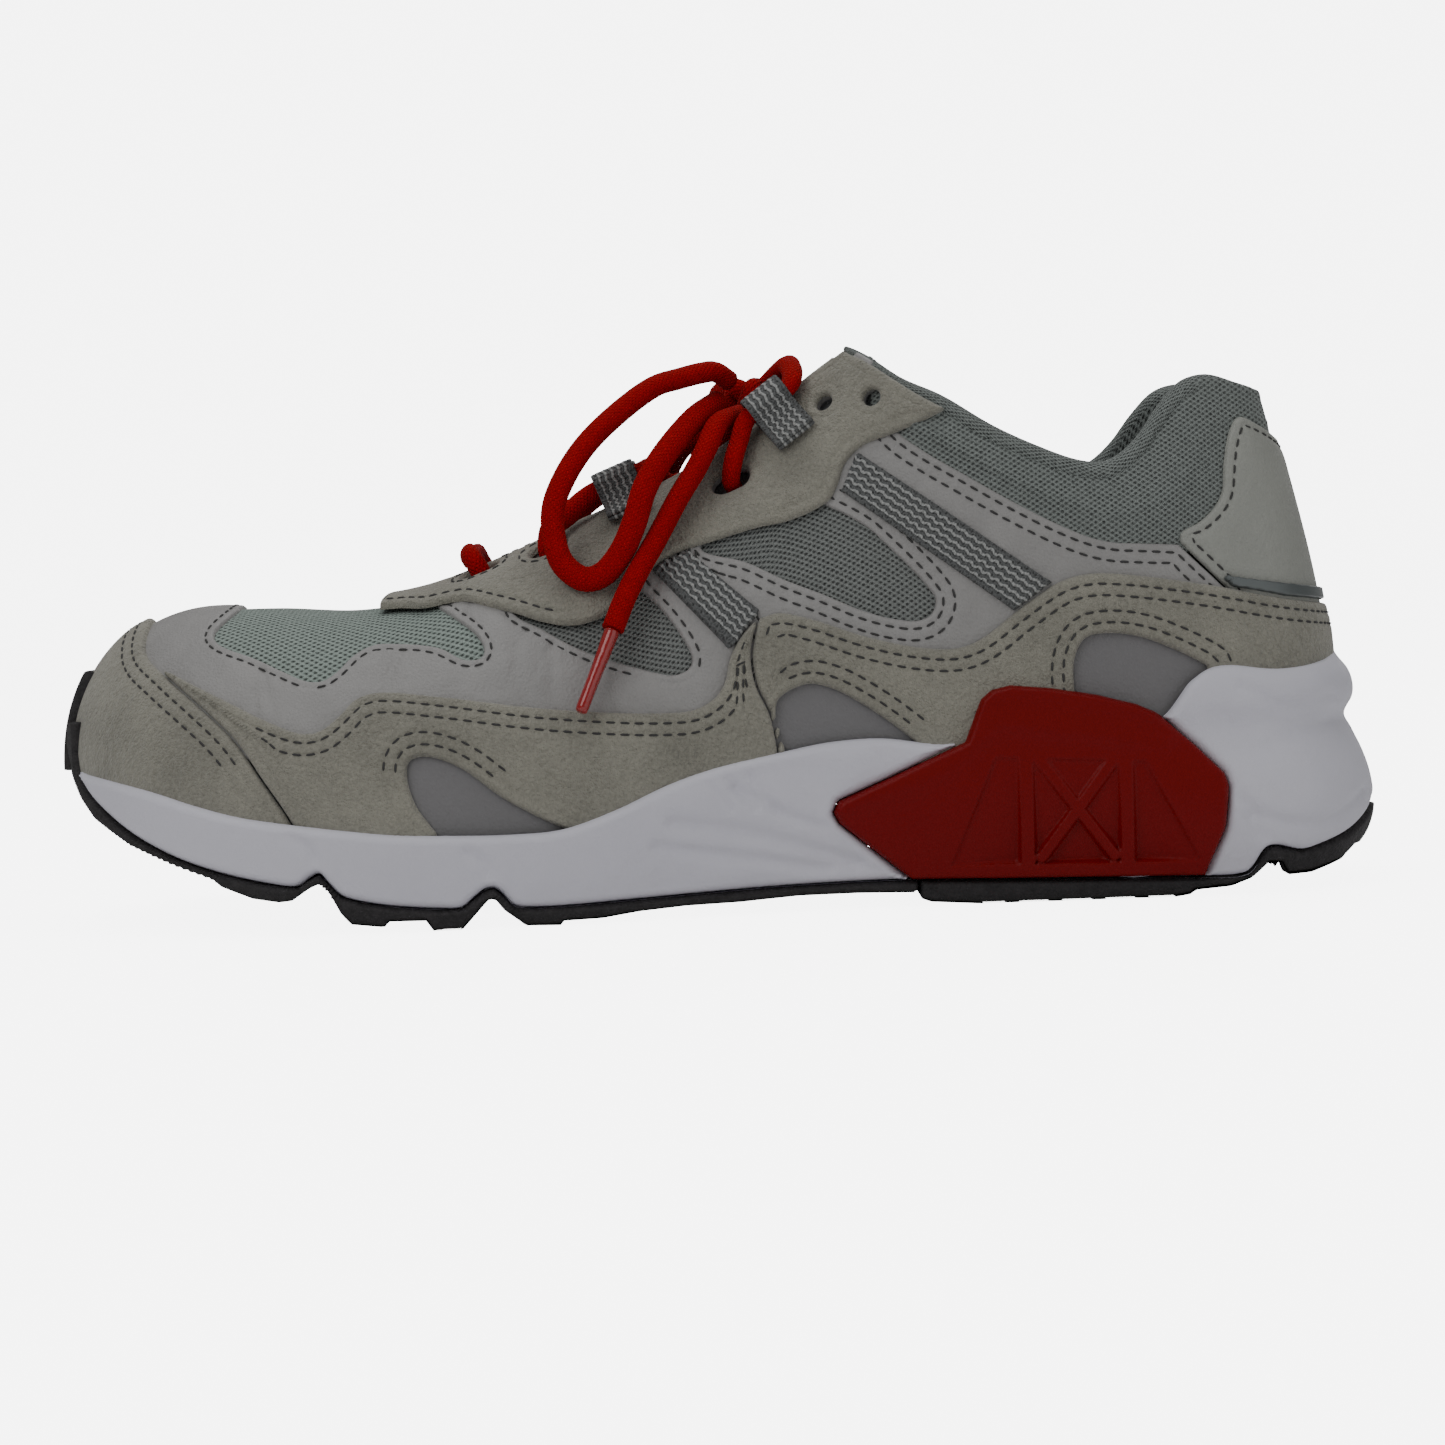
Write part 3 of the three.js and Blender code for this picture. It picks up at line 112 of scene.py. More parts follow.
# ------------------------------------------------------------ grids, cuts and stitches
AROUND = 840  # steps of the last's grid round the shoe
UP = 180  # steps of the last's grid up the shoe
WALL_AROUND = 1101
WALL_STEP = 0.55
FAR = 14.0  # distances outside an outline are not told apart beyond this
SNAP = 0.04  # corners nearer to a level than this are moved onto it
CLIP_EXTRA = 8  # the column of a cut's first extra field
EDGE_LEVELS = (0.08, 0.3, 0.62, 1.05, 1.6)
DOUBLE_ROW = (2.4, 4.9)
RIB_PITCH = 1.62
STITCH_RINGS = ((-0.5, 0.35, 0.25), (-0.28, 1, 0), (0.28, 1, 0), (0.5, 0.35, 0.25))
SEAM_CLEAR = 5.8  # stitches further from the side seam than this are sewn anyway
SEAM_EDGE = 1.6
SEAM_TOP_REACH = 5.4
CAP_CLEAR = 5.6
TREAD_RING_Z = 9.0

# ------------------------------------------------------------ side-view outlines, x and z
TOPLINE = (
    (30, 126), (36, 122.5), (44, 116), (52, 111.5), (63, 104), (74, 98.5), (82.5, 95.3),
    (88, 94.8), (92, 96.5), (97, 101), (101.5, 107), (107, 112.5), (113, 114), (122, 112),
    (145, 110),
)
THROAT_PLAN = (
    (-57, 0), (-55, -5), (-50, -8), (-38, -9.5), (-15, -10.5), (8, -11.5), (24, -13), (34, -16),
    (60, -18), (60, 18), (34, 16), (24, 13), (8, 11.5), (-15, 10.5), (-38, 9.5), (-50, 8),
    (-55, 5),
)
MUDGUARD_TOP = (
    (-120, 56.6), (-107, 50.6), (-97.5, 46), (-90, 43.3), (-86, 43.7), (-82, 46.6), (-78.5, 50),
    (-74, 51.4), (-60, 50.2), (-40, 47.2), (-24, 45.5), (-12, 44.8), (-4.5, 45.2), (0, 47.6),
    (2.4, 51), (3.6, 56), (6.4, 61), (9.8, 64.3),
)
SIDE_SEAM = ((9.8, 64.3), (8.2, 57), (9, 50), (12, 43), (13.5, 34))
FOXING_TOP = (
    (10.2, 64.5), (14.5, 65.6), (22, 64), (33, 60), (44, 57.2), (53, 56.4), (58.5, 58),
    (68, 64.8), (77, 70.4), (83, 71.8), (90, 71.6), (109, 68.7), (128, 64.8), (150, 62),
)
TOE_CAP_REAR = (
    (-129, 72), (-128.6, 62), (-121.5, 55.8), (-113.2, 49.3), (-105.3, 42.2), (-99, 33.4),
    (-93, 24.5), (-90, 18),
)
TOE_MESH_EDGE = (
    (-108, 80), (-108.4, 69.8), (-112, 64.8), (-110.6, 62.8), (-101, 59.1), (-94.5, 56.2),
    (-89.5, 54.2), (-86, 54.1), (-82.9, 56), (-79.6, 59.2), (-75.4, 61.3), (-70, 61.5),
    (-60.2, 60.4), (-54.4, 57.7), (-50.8, 58.2), (-50.5, 60.2), (-52.3, 63.1), (-57, 66.6),
    (-61.5, 69.3), (-62, 80),
)
EYESTAY_LOWER = (
    (-75.2, 75), (-75.2, 69.8), (-70, 70), (-64.8, 69.8), (-58.7, 70.8), (-55, 71),
    (-49.6, 69.6), (-43.8, 68), (-37.5, 65.8), (-32.3, 64.8), (-27.3, 65.2), (-22.2, 67.4),
    (-14.7, 74.9), (-8, 79.6), (0, 82), (10.7, 84.8), (17, 85.9), (22.7, 87.9), (26.8, 90.4),
    (28.8, 94), (30.6, 98.5), (34.7, 102.2), (40.5, 104.2), (46.1, 106.2), (52.6, 109),
)
COLLAR_SEAM = (
    (38, 112), (42.7, 104.8), (48.7, 100), (56.6, 95), (67.7, 88.2), (78.7, 82.3), (86, 79.4),
    (93, 78.4), (100.7, 79.4),
)
COLLAR_SEAM_REAR = (
    (104, 80.4), (108.6, 82.4), (112.4, 85.6), (114.4, 89), (115.2, 95.4), (116.8, 102),
    (119.3, 105.6), (124, 103.8), (131, 100.6), (150, 99),
)
UNDERLAY_TOP = (
    (-75, 43.5), (-60, 44), (-40, 40.5), (-12, 38.5), (3, 41.5), (12, 52.5), (25, 54.5),
    (45, 50), (60, 51), (78, 62.5), (92, 64), (113, 60),
)
STRAP_SEAM = ((-9, 84), (-3, 71), (7, 61), (5, 50), (3.5, 42.4))
FRONT_STRAP_CORNERS = ((3.6, 57.8), (10.6, 66), (-4.6, 79.6), (-13.6, 76.6))
REAR_STRAP_CORNERS = ((66.6, 64.2), (75, 70.2), (33.4, 100.6), (29.6, 92))
MIDSOLE_BOTTOM = (
    (-145, 34.4), (-142, 30.4), (-136.5, 26.1), (-129, 21.3), (-119, 16.7), (-109.6, 13.7),
    (-99, 11.3), (-91.5, 10.4), (-88.8, 12.2), (-86.7, 13.2), (-84.8, 11), (-82, 8.1),
    (-77.7, 6.7), (-71, 5.5), (-61.4, 4.6), (-56, 4.6), (-53, 6.9), (-50.8, 8.5), (-48.9, 8.7),
    (-47.2, 7.3), (-45.2, 4.8), (-43, 4.1), (-34, 3.9), (-20, 4.4), (-3.5, 5), (17, 5.6),
    (41.7, 5.8), (70, 5), (101, 4.2), (115.9, 4.2), (118, 5.9), (120.6, 9.8), (123, 10.1),
    (128.8, 8.6), (133.7, 9.6), (141.2, 12.2), (146.7, 15.6), (149, 17.8),
)
MIDSOLE_TOP = (
    (-144.9, 35.1), (-135.6, 33.6), (-125, 31.4), (-115, 28.5), (-104.4, 25.8), (-93.4, 24),
    (-81.5, 22.4), (-69.6, 21), (-58, 20.4), (-44.6, 20.1), (-33.5, 20.7), (-22, 24.4),
    (-10.5, 29.4), (0, 32.6), (14.5, 35.3), (25, 37), (36.3, 37.4), (47.5, 35.9), (60, 35.4),
    (76, 35.6), (90, 36.4), (98.5, 39.6), (102, 44), (104.7, 47.7), (108.4, 50.4), (113, 51.4),
    (125, 50.2), (136.5, 51.3), (142, 53.4), (156, 53.8),
)
TREAD_FOREFOOT = (
    (-146.8, 34), (-143.8, 29.2), (-139.5, 24.6), (-130, 19.3), (-119, 15.2), (-110.5, 12.3),
)
CLIP_OUTLINE_POINTS = (
    (26.4, 23.8), (25.4, 21.4), (26.6, 19), (41.7, 6.1), (61.3, 5.5), (106.5, 4.6), (111, 15.4),
    (112, 24.4), (111.2, 27.2), (105, 33.6), (98.2, 39.6), (96.5, 40.8), (92.6, 42.7),
    (84.3, 45), (73.6, 47), (64.8, 47.9), (60.8, 47), (58.4, 45), (54.7, 35.8), (50.3, 34),
    (38.9, 29),
)
BOW_LOOP_MEDIAL = (
    (5.6, -7.6, 118.4), (2.4, -10.6, 120.4), (-0.7, -12.5, 120.1), (-5.9, -15, 118.8),
    (-11.1, -18, 117.2), (-19.8, -23, 111), (-27.2, -27, 103.8), (-32, -30, 96.5),
    (-34.4, -31.5, 90.2), (-34.3, -33, 83.6), (-32.5, -34.5, 78), (-27.9, -36, 74.5),
    (-23.9, -36.5, 75.3), (-19.8, -35.5, 79.7), (-16.6, -34.5, 86.2), (-14.1, -32.5, 93.7),
    (-11.1, -29.5, 99.1), (-7, -24.5, 104.6), (-2, -17.4, 110), (3, -8.8, 113.6),
)
LACE_END_MEDIAL = (
    (7.4, -10.6, 110.4), (2.6, -19.8, 108), (0, -24.4, 102.8), (-2.6, -26.5, 98),
    (-6.6, -29.5, 91.8), (-11.6, -33, 83), (-15.8, -36.4, 76), (-19.2, -39.4, 69.6),
    (-21.8, -41.8, 63.4),
)
BOW_LOOP_LATERAL = (
    (4, 7, 113), (0.6, 13, 109.8), (-1, 20, 106), (-1.6, 27, 99.8), (-1.6, 33.4, 91.6),
    (-1.4, 39, 82.4), (0, 43.6, 73), (3.6, 47, 65.4), (9.4, 47.4, 63.4), (13.6, 45.8, 68.4),
    (14.6, 43, 77.2), (13, 40, 87), (9.6, 36, 96), (6, 30.2, 103.8), (3.6, 23, 111),
    (3.4, 15.4, 115.8), (6.4, 8, 118.2),
)
LACE_END_LATERAL = (
    (0, 5.2, 108.4), (-5, 10.2, 104.8), (-8.4, 17, 100.8), (-10.4, 25, 95.2),
    (-11.2, 32.2, 87.6), (-11.6, 38.8, 78.6), (-12, 44.6, 69), (-12.4, 48.4, 59.4),
)
FACING_BACK = (
    (52.6, 109.6), (46.4, 113.4), (36, 121.2), (31, 124.6), (26, 140), (-75.2, 140),
)
BUMPER_PLAN = ((-170, -11), (-120, -7), (-120, 8), (-170, 13))
FRONT_WINDOW = (
    (-61, 21), (-65.2, 27), (-67, 33), (-66.6, 36.6), (-64, 37.6), (-59.4, 36.7), (-54.5, 34.2),
    (-47, 28.3), (-39.2, 23.6), (-32, 20), (-32, -4), (-58, -4),
)
MIDDLE_WINDOW = (
    (14.8, 35), (13.6, 40), (12.9, 43.6), (14.2, 47), (20.5, 49.8), (25.6, 48.7), (31, 45.8),
    (37.7, 41.2), (44, 36), (44, -4), (14.8, -4),
)
REAR_WINDOW = (
    (79.3, 44), (79.4, 53), (82, 57.7), (87, 58.6), (94, 57.6), (102.6, 54.1), (109, 50.6),
    (109, -4), (79.3, -4),
)
FRONT_KNIT_WINDOW = (
    (-44, 68), (-37.4, 63.8), (-32.4, 60.8), (-25.2, 57.4), (-18.6, 55.2), (-12.9, 53.5),
    (-8.8, 52.8), (-5.4, 54.2), (-4.8, 56.2), (-5.9, 59.2), (-8.4, 63.4), (-11.5, 67.4),
    (-15.5, 71.6), (-20, 78), (-40, 76),
)
REAR_KNIT_WINDOW = (
    (-2, 80.4), (2, 86), (22, 91), (26.7, 88.6), (31, 86.3), (35.5, 83.3), (39.5, 79.2),
    (43.7, 74.8), (47.3, 70.6), (49.4, 67.2), (48.4, 64.2), (45.6, 62.8), (40, 63.4),
    (33.1, 65.5), (24.8, 69.3), (16.4, 72.8), (8, 77),
)

HOLE_ROWS = ((-51, 14), (-35, 18), (6, 19))
LOOP_ROWS = {"lower": (-17, 12), "upper": (18, 13.5)}
SPARE_EYELETS = ((28.5, 17.5), (38, 21.5))

Points = Sequence[Sequence[float]]
Vec = np.ndarray


# ------------------------------------------------------------ small geometry helpers
def smooth(points: Points, per: int = 6, closed: bool = False) -> Vec:
    """A curve through the points.

    Args:
        points: The points it passes through.
        per: New points for each span.
        closed: Whether it joins up.

    Returns:
        The dense points of the curve.
    """
    p = np.asarray(points, float)
    if len(p) < 3:
        return p
    ends = (p[-1], p[0], p[1]) if closed else (2 * p[0] - p[1], 2 * p[-1] - p[-2])
    q = np.vstack([ends[0], p, *ends[1:]])
    out = []
    for k in range(1, len(q) - 2):
        knots = np.zeros(4)
        for m in range(3):
            knots[m + 1] = knots[m] + max(np.linalg.norm(q[k + m] - q[k + m - 1]), 1e-6) ** 0.5
        for t in np.linspace(knots[1], knots[2], per, endpoint=False):
            out.append(_barry(q[k - 1 : k + 3], knots, t))
    if not closed:
        out.append(p[-1])
    return np.array(out)


def _barry(q: Vec, k: Vec, t: float) -> Vec:
    """One point of a centripetal Catmull-Rom span."""
    a = [(k[m + 1] - t) / (k[m + 1] - k[m]) * q[m] + (t - k[m]) / (k[m + 1] - k[m]) * q[m + 1]
         for m in range(3)]
    b = [(k[m + 2] - t) / (k[m + 2] - k[m]) * a[m] + (t - k[m]) / (k[m + 2] - k[m]) * a[m + 1]
         for m in range(2)]
    return (k[2] - t) / (k[2] - k[1]) * b[0] + (t - k[1]) / (k[2] - k[1]) * b[1]


def loop(*runs: Points) -> Vec:
    """One closed outline from several runs of points."""
    return np.vstack([np.asarray(run, float).reshape(-1, 2) for run in runs])


def signed_distance(outline: Vec, x: Vec, z: Vec) -> Vec:
    """Distance to a closed outline, positive inside.

    Args:
        outline: The corners of the outline.
        x: First coordinates of the places.
        z: Second coordinates of the places.

    Returns:
        The distances, with the shape of x.
    """
    result = np.full(x.shape, -FAR)
    low, high = outline.min(axis=0) - FAR, outline.max(axis=0) + FAR
    near = (x > low[0]) & (x < high[0]) & (z > low[1]) & (z < high[1])
    px, pz = x[near], z[near]
    best = np.full(px.shape, np.inf)
    inside = np.zeros(px.shape, bool)
    ahead = np.roll(outline, -1, axis=0)
    for (ax, az), (bx, bz) in zip(outline, ahead, strict=True):
        dx, dz = bx - ax, bz - az
        t = np.clip(((px - ax) * dx + (pz - az) * dz) / max(dx * dx + dz * dz, 1e-9), 0, 1)
        best = np.minimum(best, (px - ax - t * dx) ** 2 + (pz - az - t * dz) ** 2)
        if az != bz:
            crosses = ((az > pz) != (bz > pz)) & (px < dx * (pz - az) / dz + ax)
            inside ^= crosses
    distance = np.sqrt(best)
    result[near] = np.where(inside, distance, -np.minimum(distance, FAR))
    return result


def line_distance(points: Points, x: Vec, z: Vec) -> Vec:
    """Distance from places to an open line."""
    p = np.asarray(points, float)
    best = np.full(x.shape, np.inf)
    for (ax, az), (bx, bz) in zip(p[:-1], p[1:], strict=True):
        dx, dz = bx - ax, bz - az
        t = np.clip(((x - ax) * dx + (z - az) * dz) / max(dx * dx + dz * dz, 1e-9), 0, 1)
        best = np.minimum(best, (x - ax - t * dx) ** 2 + (z - az - t * dz) ** 2)
    return np.sqrt(best)


def unit(v: Vec) -> Vec:
    """Vectors scaled to length one."""
    return v / np.maximum(np.linalg.norm(v, axis=-1, keepdims=True), 1e-9)


def ease(a: float, b: float, x: Vec) -> Vec:
    """Smooth step from 0 at a to 1 at b."""
    t = np.clip((x - a) / (b - a), 0, 1)
    return t * t * (3 - 2 * t)


def height_along(table: Points, x: Vec) -> Vec:
    """Smooth value of a table of places and values, such as a height along the shoe."""
    t = np.asarray(table, float)
    slope = np.gradient(t[:, 1], t[:, 0])
    x = np.clip(x, t[0, 0], t[-1, 0])
    i = np.clip(np.searchsorted(t[:, 0], x) - 1, 0, len(t) - 2)
    h = t[i + 1, 0] - t[i, 0]
    u = (x - t[i, 0]) / h
    return (
        (2 * u**3 - 3 * u**2 + 1) * t[i, 1]
        + (u**3 - 2 * u**2 + u) * h * slope[i]
        + (3 * u**2 - 2 * u**3) * t[i + 1, 1]
        + (u**3 - u**2) * h * slope[i + 1]
    )


# ------------------------------------------------------------ surfaces that pieces are cut from
@dataclass
class Chart:
    """A fine grid over a surface, from which pieces are cut by distance to their edges."""

    points: Vec
    normals: Vec
    uv: Vec
    _metric: tuple[Vec, Vec, Vec, Vec] | None = None

    def metric(self) -> tuple[Vec, Vec, Vec, Vec]:
        """The grid's first fundamental form and its determinant."""
        if self._metric is None:
            pu = np.gradient(self.points, axis=0)
            pv = np.gradient(self.points, axis=1)
            e = (pu * pu).sum(-1) + 1e-6
            f = (pu * pv).sum(-1)
            g = (pv * pv).sum(-1) + 1e-6
            self._metric = (e, f, g, np.maximum(e * g - f * f, 1e-9))
        return self._metric

    def true_distance(self, value: Vec) -> Vec:
        """A side-view distance turned into distance along the surface."""
        e, f, g, det = self.metric()
        du = np.gradient(value, axis=0)
        dv = np.gradient(value, axis=1)
        steep = np.sqrt(np.maximum((g * du**2 - 2 * f * du * dv + e * dv**2) / det, 0))
        return value / np.clip(steep, 0.22, 1.3)

    def at(self, height: float) -> Vec:
        """The grid's points raised over the surface."""
        return self.points + self.normals * height


def flat_chart(points: Vec, up: float) -> Chart:
    """A chart over a grid whose normals all look up, or down for -1."""
    return Chart(points, np.broadcast_to((0.0, 0.0, up), points.shape).copy(), points[..., :2])


@dataclass
class Cut:
    """Triangles cut from a chart, with what is known at each corner."""

    triangles: Vec
    distance: Vec
    data: Vec  # position, normal, uv, extra fields

    @property
    def points(self) -> Vec:
        """Places on the chart."""
        return self.data[:, 0:3]

    @property
    def normals(self) -> Vec:
        """Normals of the chart."""
        return unit(self.data[:, 3:6])

    @property
    def uv(self) -> Vec:
        """Pattern coordinates in mm."""
        return self.data[:, 6:8]


def split(cut: Cut, level: float, column: int | None = None) -> Cut:
    """Cuts triangles where a field passes a level, so that edges run along it.

    Args:
        cut: The triangles.
        level: The value that edges follow.
        column: The extra field's column, or None for the distance.

    Returns:
        The triangles with edges along the level.
    """
    values = cut.distance.copy() if column is None else cut.data[:, column].copy()
    values[np.abs(values - level) < SNAP] = level
    sign = np.sign(values - level)[cut.triangles]
    mixed = (sign.max(1) > 0) & (sign.min(1) < 0)
    keep, torn, sign = cut.triangles[~mixed], cut.triangles[mixed], sign[mixed]
    touching = (sign == 0).any(1)
    odd = np.argmax(sign == -np.sign(sign.sum(1))[:, None], axis=1)
    lead = np.where(touching, np.argmax(sign == 0, axis=1), odd)
    torn = np.take_along_axis(torn, (lead[:, None] + np.arange(3)) % 3, 1)
    first, second = torn[touching], torn[~touching]
    pairs = np.vstack([first[:, [1, 2]], second[:, [0, 1]], second[:, [0, 2]]])
    pairs = np.sort(pairs, axis=1)
    unique, where = np.unique(pairs, axis=0, return_inverse=True)
    where = where.reshape(-1) + len(values)
    va, vb = values[unique[:, 0]], values[unique[:, 1]]
    share = ((level - va) / np.where(va == vb, 1, vb - va))[:, None]
    fresh = cut.data[unique[:, 0]] * (1 - share) + cut.data[unique[:, 1]] * share
    part = share[:, 0]
    away = cut.distance[unique[:, 0]] * (1 - part) + cut.distance[unique[:, 1]] * part
    n, m = len(first), len(second)
    one, ab, ac = where[:n], where[n : n + m], where[n + m :]
    parts = [
        keep,
        np.column_stack([first[:, 0], first[:, 1], one]),
        np.column_stack([first[:, 0], one, first[:, 2]]),
        np.column_stack([second[:, 0], ab, ac]),
        np.column_stack([ab, second[:, 1], second[:, 2]]),
        np.column_stack([ab, second[:, 2], ac]),
    ]
    data = np.vstack([cut.data, fresh])
    distance = np.concatenate([cut.distance if column is not None else values, away])
    if column is None:
        distance[len(values) :] = level
    else:
        data[: len(values), column] = values
        data[len(values) :, column] = level
    return Cut(np.vstack(parts), distance, data)


def cut_out(
    chart: Chart, value: Vec, extras: Sequence[Vec] = (), levels: Iterable[float] = ()
) -> Cut:
    """Cuts the part of a chart where a field is positive.

    Args:
        chart: The surface.
        value: The field on its grid, positive on the piece.
        extras: More fields to carry along.
        levels: Distances from the edge along which edges of the mesh run.

    Returns:
        The triangles of the piece.
    """
    wide, high = value.shape
    near = value > -1.5
    quads = near[:-1, :-1] | near[1:, :-1] | near[1:, 1:] | near[:-1, 1:]
    i, j = np.nonzero(quads)
    a = i * high + j
    b, c, d = a + high, a + high + 1, a + 1
    triangles = np.vstack([np.column_stack([a, d, b]), np.column_stack([b, d, c])])
    used, triangles = np.unique(triangles, return_inverse=True)
    triangles = triangles.reshape(-1, 3)
    columns = [grid.reshape(-1, grid.shape[-1]) for grid in (chart.points, chart.normals, chart.uv)]
    columns += [e.reshape(-1, 1) for e in extras]
    data = np.hstack([c[used] for c in columns])
    cut = Cut(triangles, value.reshape(-1)[used].copy(), data)
    cut = split(cut, 0.0)
    cut.triangles = cut.triangles[cut.distance[cut.triangles].min(1) >= -1e-6]
    for level in levels:
        cut = split(cut, level)
    return cut


def rows_at(cut: Cut, level: float) -> list[Vec]:
    """The lines of the mesh that lie exactly on a level, as chains of corner numbers."""
    t = cut.triangles
    edges = np.vstack([t[:, [0, 1]], t[:, [1, 2]], t[:, [2, 0]]])
    on = np.abs(cut.distance - level) < 1e-6
    edges = np.unique(np.sort(edges[on[edges].all(1)], axis=1), axis=0)
    links: dict[int, list[int]] = {}
    for a, b in edges.tolist():
        links.setdefault(a, []).append(b)
        links.setdefault(b, []).append(a)
    chains, seen = [], set()
    starts = [k for k, v in links.items() if len(v) == 1] + list(links)
    for start in starts:
        if start in seen:
            continue
        chain = [start]
        seen.add(start)
        while True:
            onward = [k for k in links[chain[-1]] if k not in seen]
            if not onward:
                break
            chain.append(onward[0])
            seen.add(onward[0])
        if len(chain) > 3:
            chains.append(np.array(chain))
    return chains


# ------------------------------------------------------------ Blender objects
def new_object(
    name: str, verts: Vec, faces: Vec | list[tuple[int, ...]], uv: Vec | None = None
) -> bpy.types.Object:
    """A mesh object at the origin.

    Args:
        name: The piece's name.
        verts: Corners in mm.
        faces: Triangles or quads as corner numbers.
        uv: Pattern coordinates of each corner, in mm.

    Returns:
        The object, linked to the scene.
    """
    mesh = bpy.data.meshes.new(name)
    corner_lists = faces if isinstance(faces, list) else faces.tolist()
    mesh.from_pydata((np.asarray(verts) * MM).tolist(), [], corner_lists)
    if uv is not None:
        layer = mesh.uv_layers.new(name="pattern")
        corners = np.empty(len(mesh.loops), int)
        mesh.loops.foreach_get("vertex_index", corners)
        layer.data.foreach_set("uv", (np.asarray(uv)[corners] * MM).ravel())
    mesh.update()
    made = bpy.data.objects.new(name, mesh)
    bpy.context.collection.objects.link(made)
    return made


def only(obj: bpy.types.Object) -> None:
    """Deselects everything and makes one object active."""
    bpy.ops.object.select_all(action="DESELECT")
    obj.select_set(True)
    bpy.context.view_layer.objects.active = obj


def edit(obj: bpy.types.Object, step: Callable[..., object], **settings: object) -> None:
    """Runs one mesh operator on the whole of an object."""
    only(obj)
    bpy.ops.object.mode_set(mode="EDIT")
    bpy.ops.mesh.select_all(action="SELECT")
    step(**settings)
    bpy.ops.object.mode_set(mode="OBJECT")


def weld(obj: bpy.types.Object, distance: float = 0.02) -> None:
    """Joins corners that lie together and shades the piece smooth."""
    edit(obj, bpy.ops.mesh.remove_doubles, threshold=distance * MM)
    bpy.ops.object.shade_smooth()


def recalculate(obj: bpy.types.Object, upward: bool = False) -> None:
    """Turns the faces outward, or upward for an open sheet, and shades them smooth."""
    edit(obj, bpy.ops.mesh.normals_make_consistent, inside=False)
    if upward and net_rise(obj) < 0:
        edit(obj, bpy.ops.mesh.flip_normals)
    bpy.ops.object.shade_smooth()


def net_rise(obj: bpy.types.Object) -> float:
    """Above 0 where more faces look up than down."""
    return sum(p.normal.z for p in obj.data.polygons)


def merge(target: bpy.types.Object, other: bpy.types.Object) -> None:
    """Joins another object into the target."""
    only(target)
    other.select_set(True)
    bpy.ops.object.join()


def put(
    obj: bpy.types.Object,
    material: bpy.types.Material,
    nodes: Sequence[str] = (),
    body: str = SHOE,
) -> bpy.types.Object:
    """Finishes a piece: its material, body and the nodes it stands for.

    Args:
        obj: The piece.
        material: Its look.
        nodes: The nodes it replaces.
        body: The body it rides on.

    Returns:
        The piece.
    """
    obj.data.materials.clear()
    obj.data.materials.append(material)
    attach(obj, body)
    if nodes:
        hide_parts(*nodes)
    LOG.info("%s: %d faces", obj.name, len(obj.data.polygons))
    return obj


def rolled(height: float, radius: float) -> Callable[[Vec], Vec]:
    """A rounded edge: height over the base against distance from the edge."""

    def profile(d: Vec) -> Vec:
        t = 1 - np.clip(d / radius, 0, 1)
        return height * (1 - t * t) ** 0.5

    return profile


def shell(name: str, cut: Cut, heights: Vec, inward: bool = False) -> bpy.types.Object:
    """A surface piece raised from its chart by a height at each corner."""
    verts = cut.points + cut.normals * heights[:, None]
    faces = cut.triangles[:, ::-1] if inward else cut.triangles
    made = new_object(name, verts, faces, cut.uv)
    weld(made)
    return made


def tube(
    name: str,
    path: Vec,
    wide: float | Vec,
    thick: float | Vec,
    sides: int = 14,
    closed: bool = False,
) -> bpy.types.Object:
    """A tube with an oval section along a path, its ends closed.

    Args:
        name: The piece's name.
        path: Its centreline.
        wide: Half its width, across the normals.
        thick: Half its thickness, along the normals.
        sides: Corners round it.
        closed: Whether the path joins up.

    Returns:
        The object.
    """
    count = len(path)
    ahead, behind = np.roll(path, -1, axis=0), np.roll(path, 1, axis=0)
    if not closed:
        ahead[-1], behind[0] = 2 * path[-1] - path[-2], 2 * path[0] - path[1]
    tangents = unit(ahead - behind)
    normals = np.zeros_like(path)
    n = np.cross(tangents[0], (0.0, 1.0, 0.0))
    n = n if np.linalg.norm(n) > 0.2 else np.cross(tangents[0], (1.0, 0.0, 0.0))
    for k in range(count):
        n = n - tangents[k] * float(n @ tangents[k])
        n /= np.linalg.norm(n)
        normals[k] = n
    normals = unit(normals - tangents * (normals * tangents).sum(-1, keepdims=True))
    across = np.cross(tangents, normals)
    turn = np.linspace(0, 2 * math.pi, sides, endpoint=False)
    wide = np.broadcast_to(np.asarray(wide, float).reshape(-1, 1, 1), (count, 1, 1))
    thick = np.broadcast_to(np.asarray(thick, float).reshape(-1, 1, 1), (count, 1, 1))
    rings = (
        path[:, None, :]
        + across[:, None, :] * np.cos(turn)[None, :, None] * wide
        + normals[:, None, :] * np.sin(turn)[None, :, None] * thick
    )
    length = np.concatenate([[0], np.cumsum(np.linalg.norm(np.diff(path, axis=0), axis=1))])
    girth = float(wide.mean() + thick.mean()) * math.pi
    round_ = np.minimum(turn, 2 * math.pi - turn) / math.pi * girth / 2
    uv = np.stack(np.broadcast_arrays(length[:, None], round_[None, :]), -1).reshape(-1, 2)
    faces = []
    for i in range(count if closed else count - 1):
        low, high = i * sides, ((i + 1) % count) * sides
        for k in range(sides):
            m = (k + 1) % sides
            faces.append((low + k, low + m, high + m, high + k))
    verts = rings.reshape(-1, 3)
    if not closed:
        verts = np.vstack([verts, path[0], path[-1]])
        uv = np.vstack([uv, uv[0], uv[-1]])
        a, b = len(verts) - 2, len(verts) - 1
        last = (count - 1) * sides
        for k in range(sides):
            m = (k + 1) % sides
            faces.append((a, m, k))
            faces.append((b, last + k, last + m))
    made = new_object(name, verts, faces, uv)
    only(made)
    bpy.ops.object.shade_smooth()
    return made


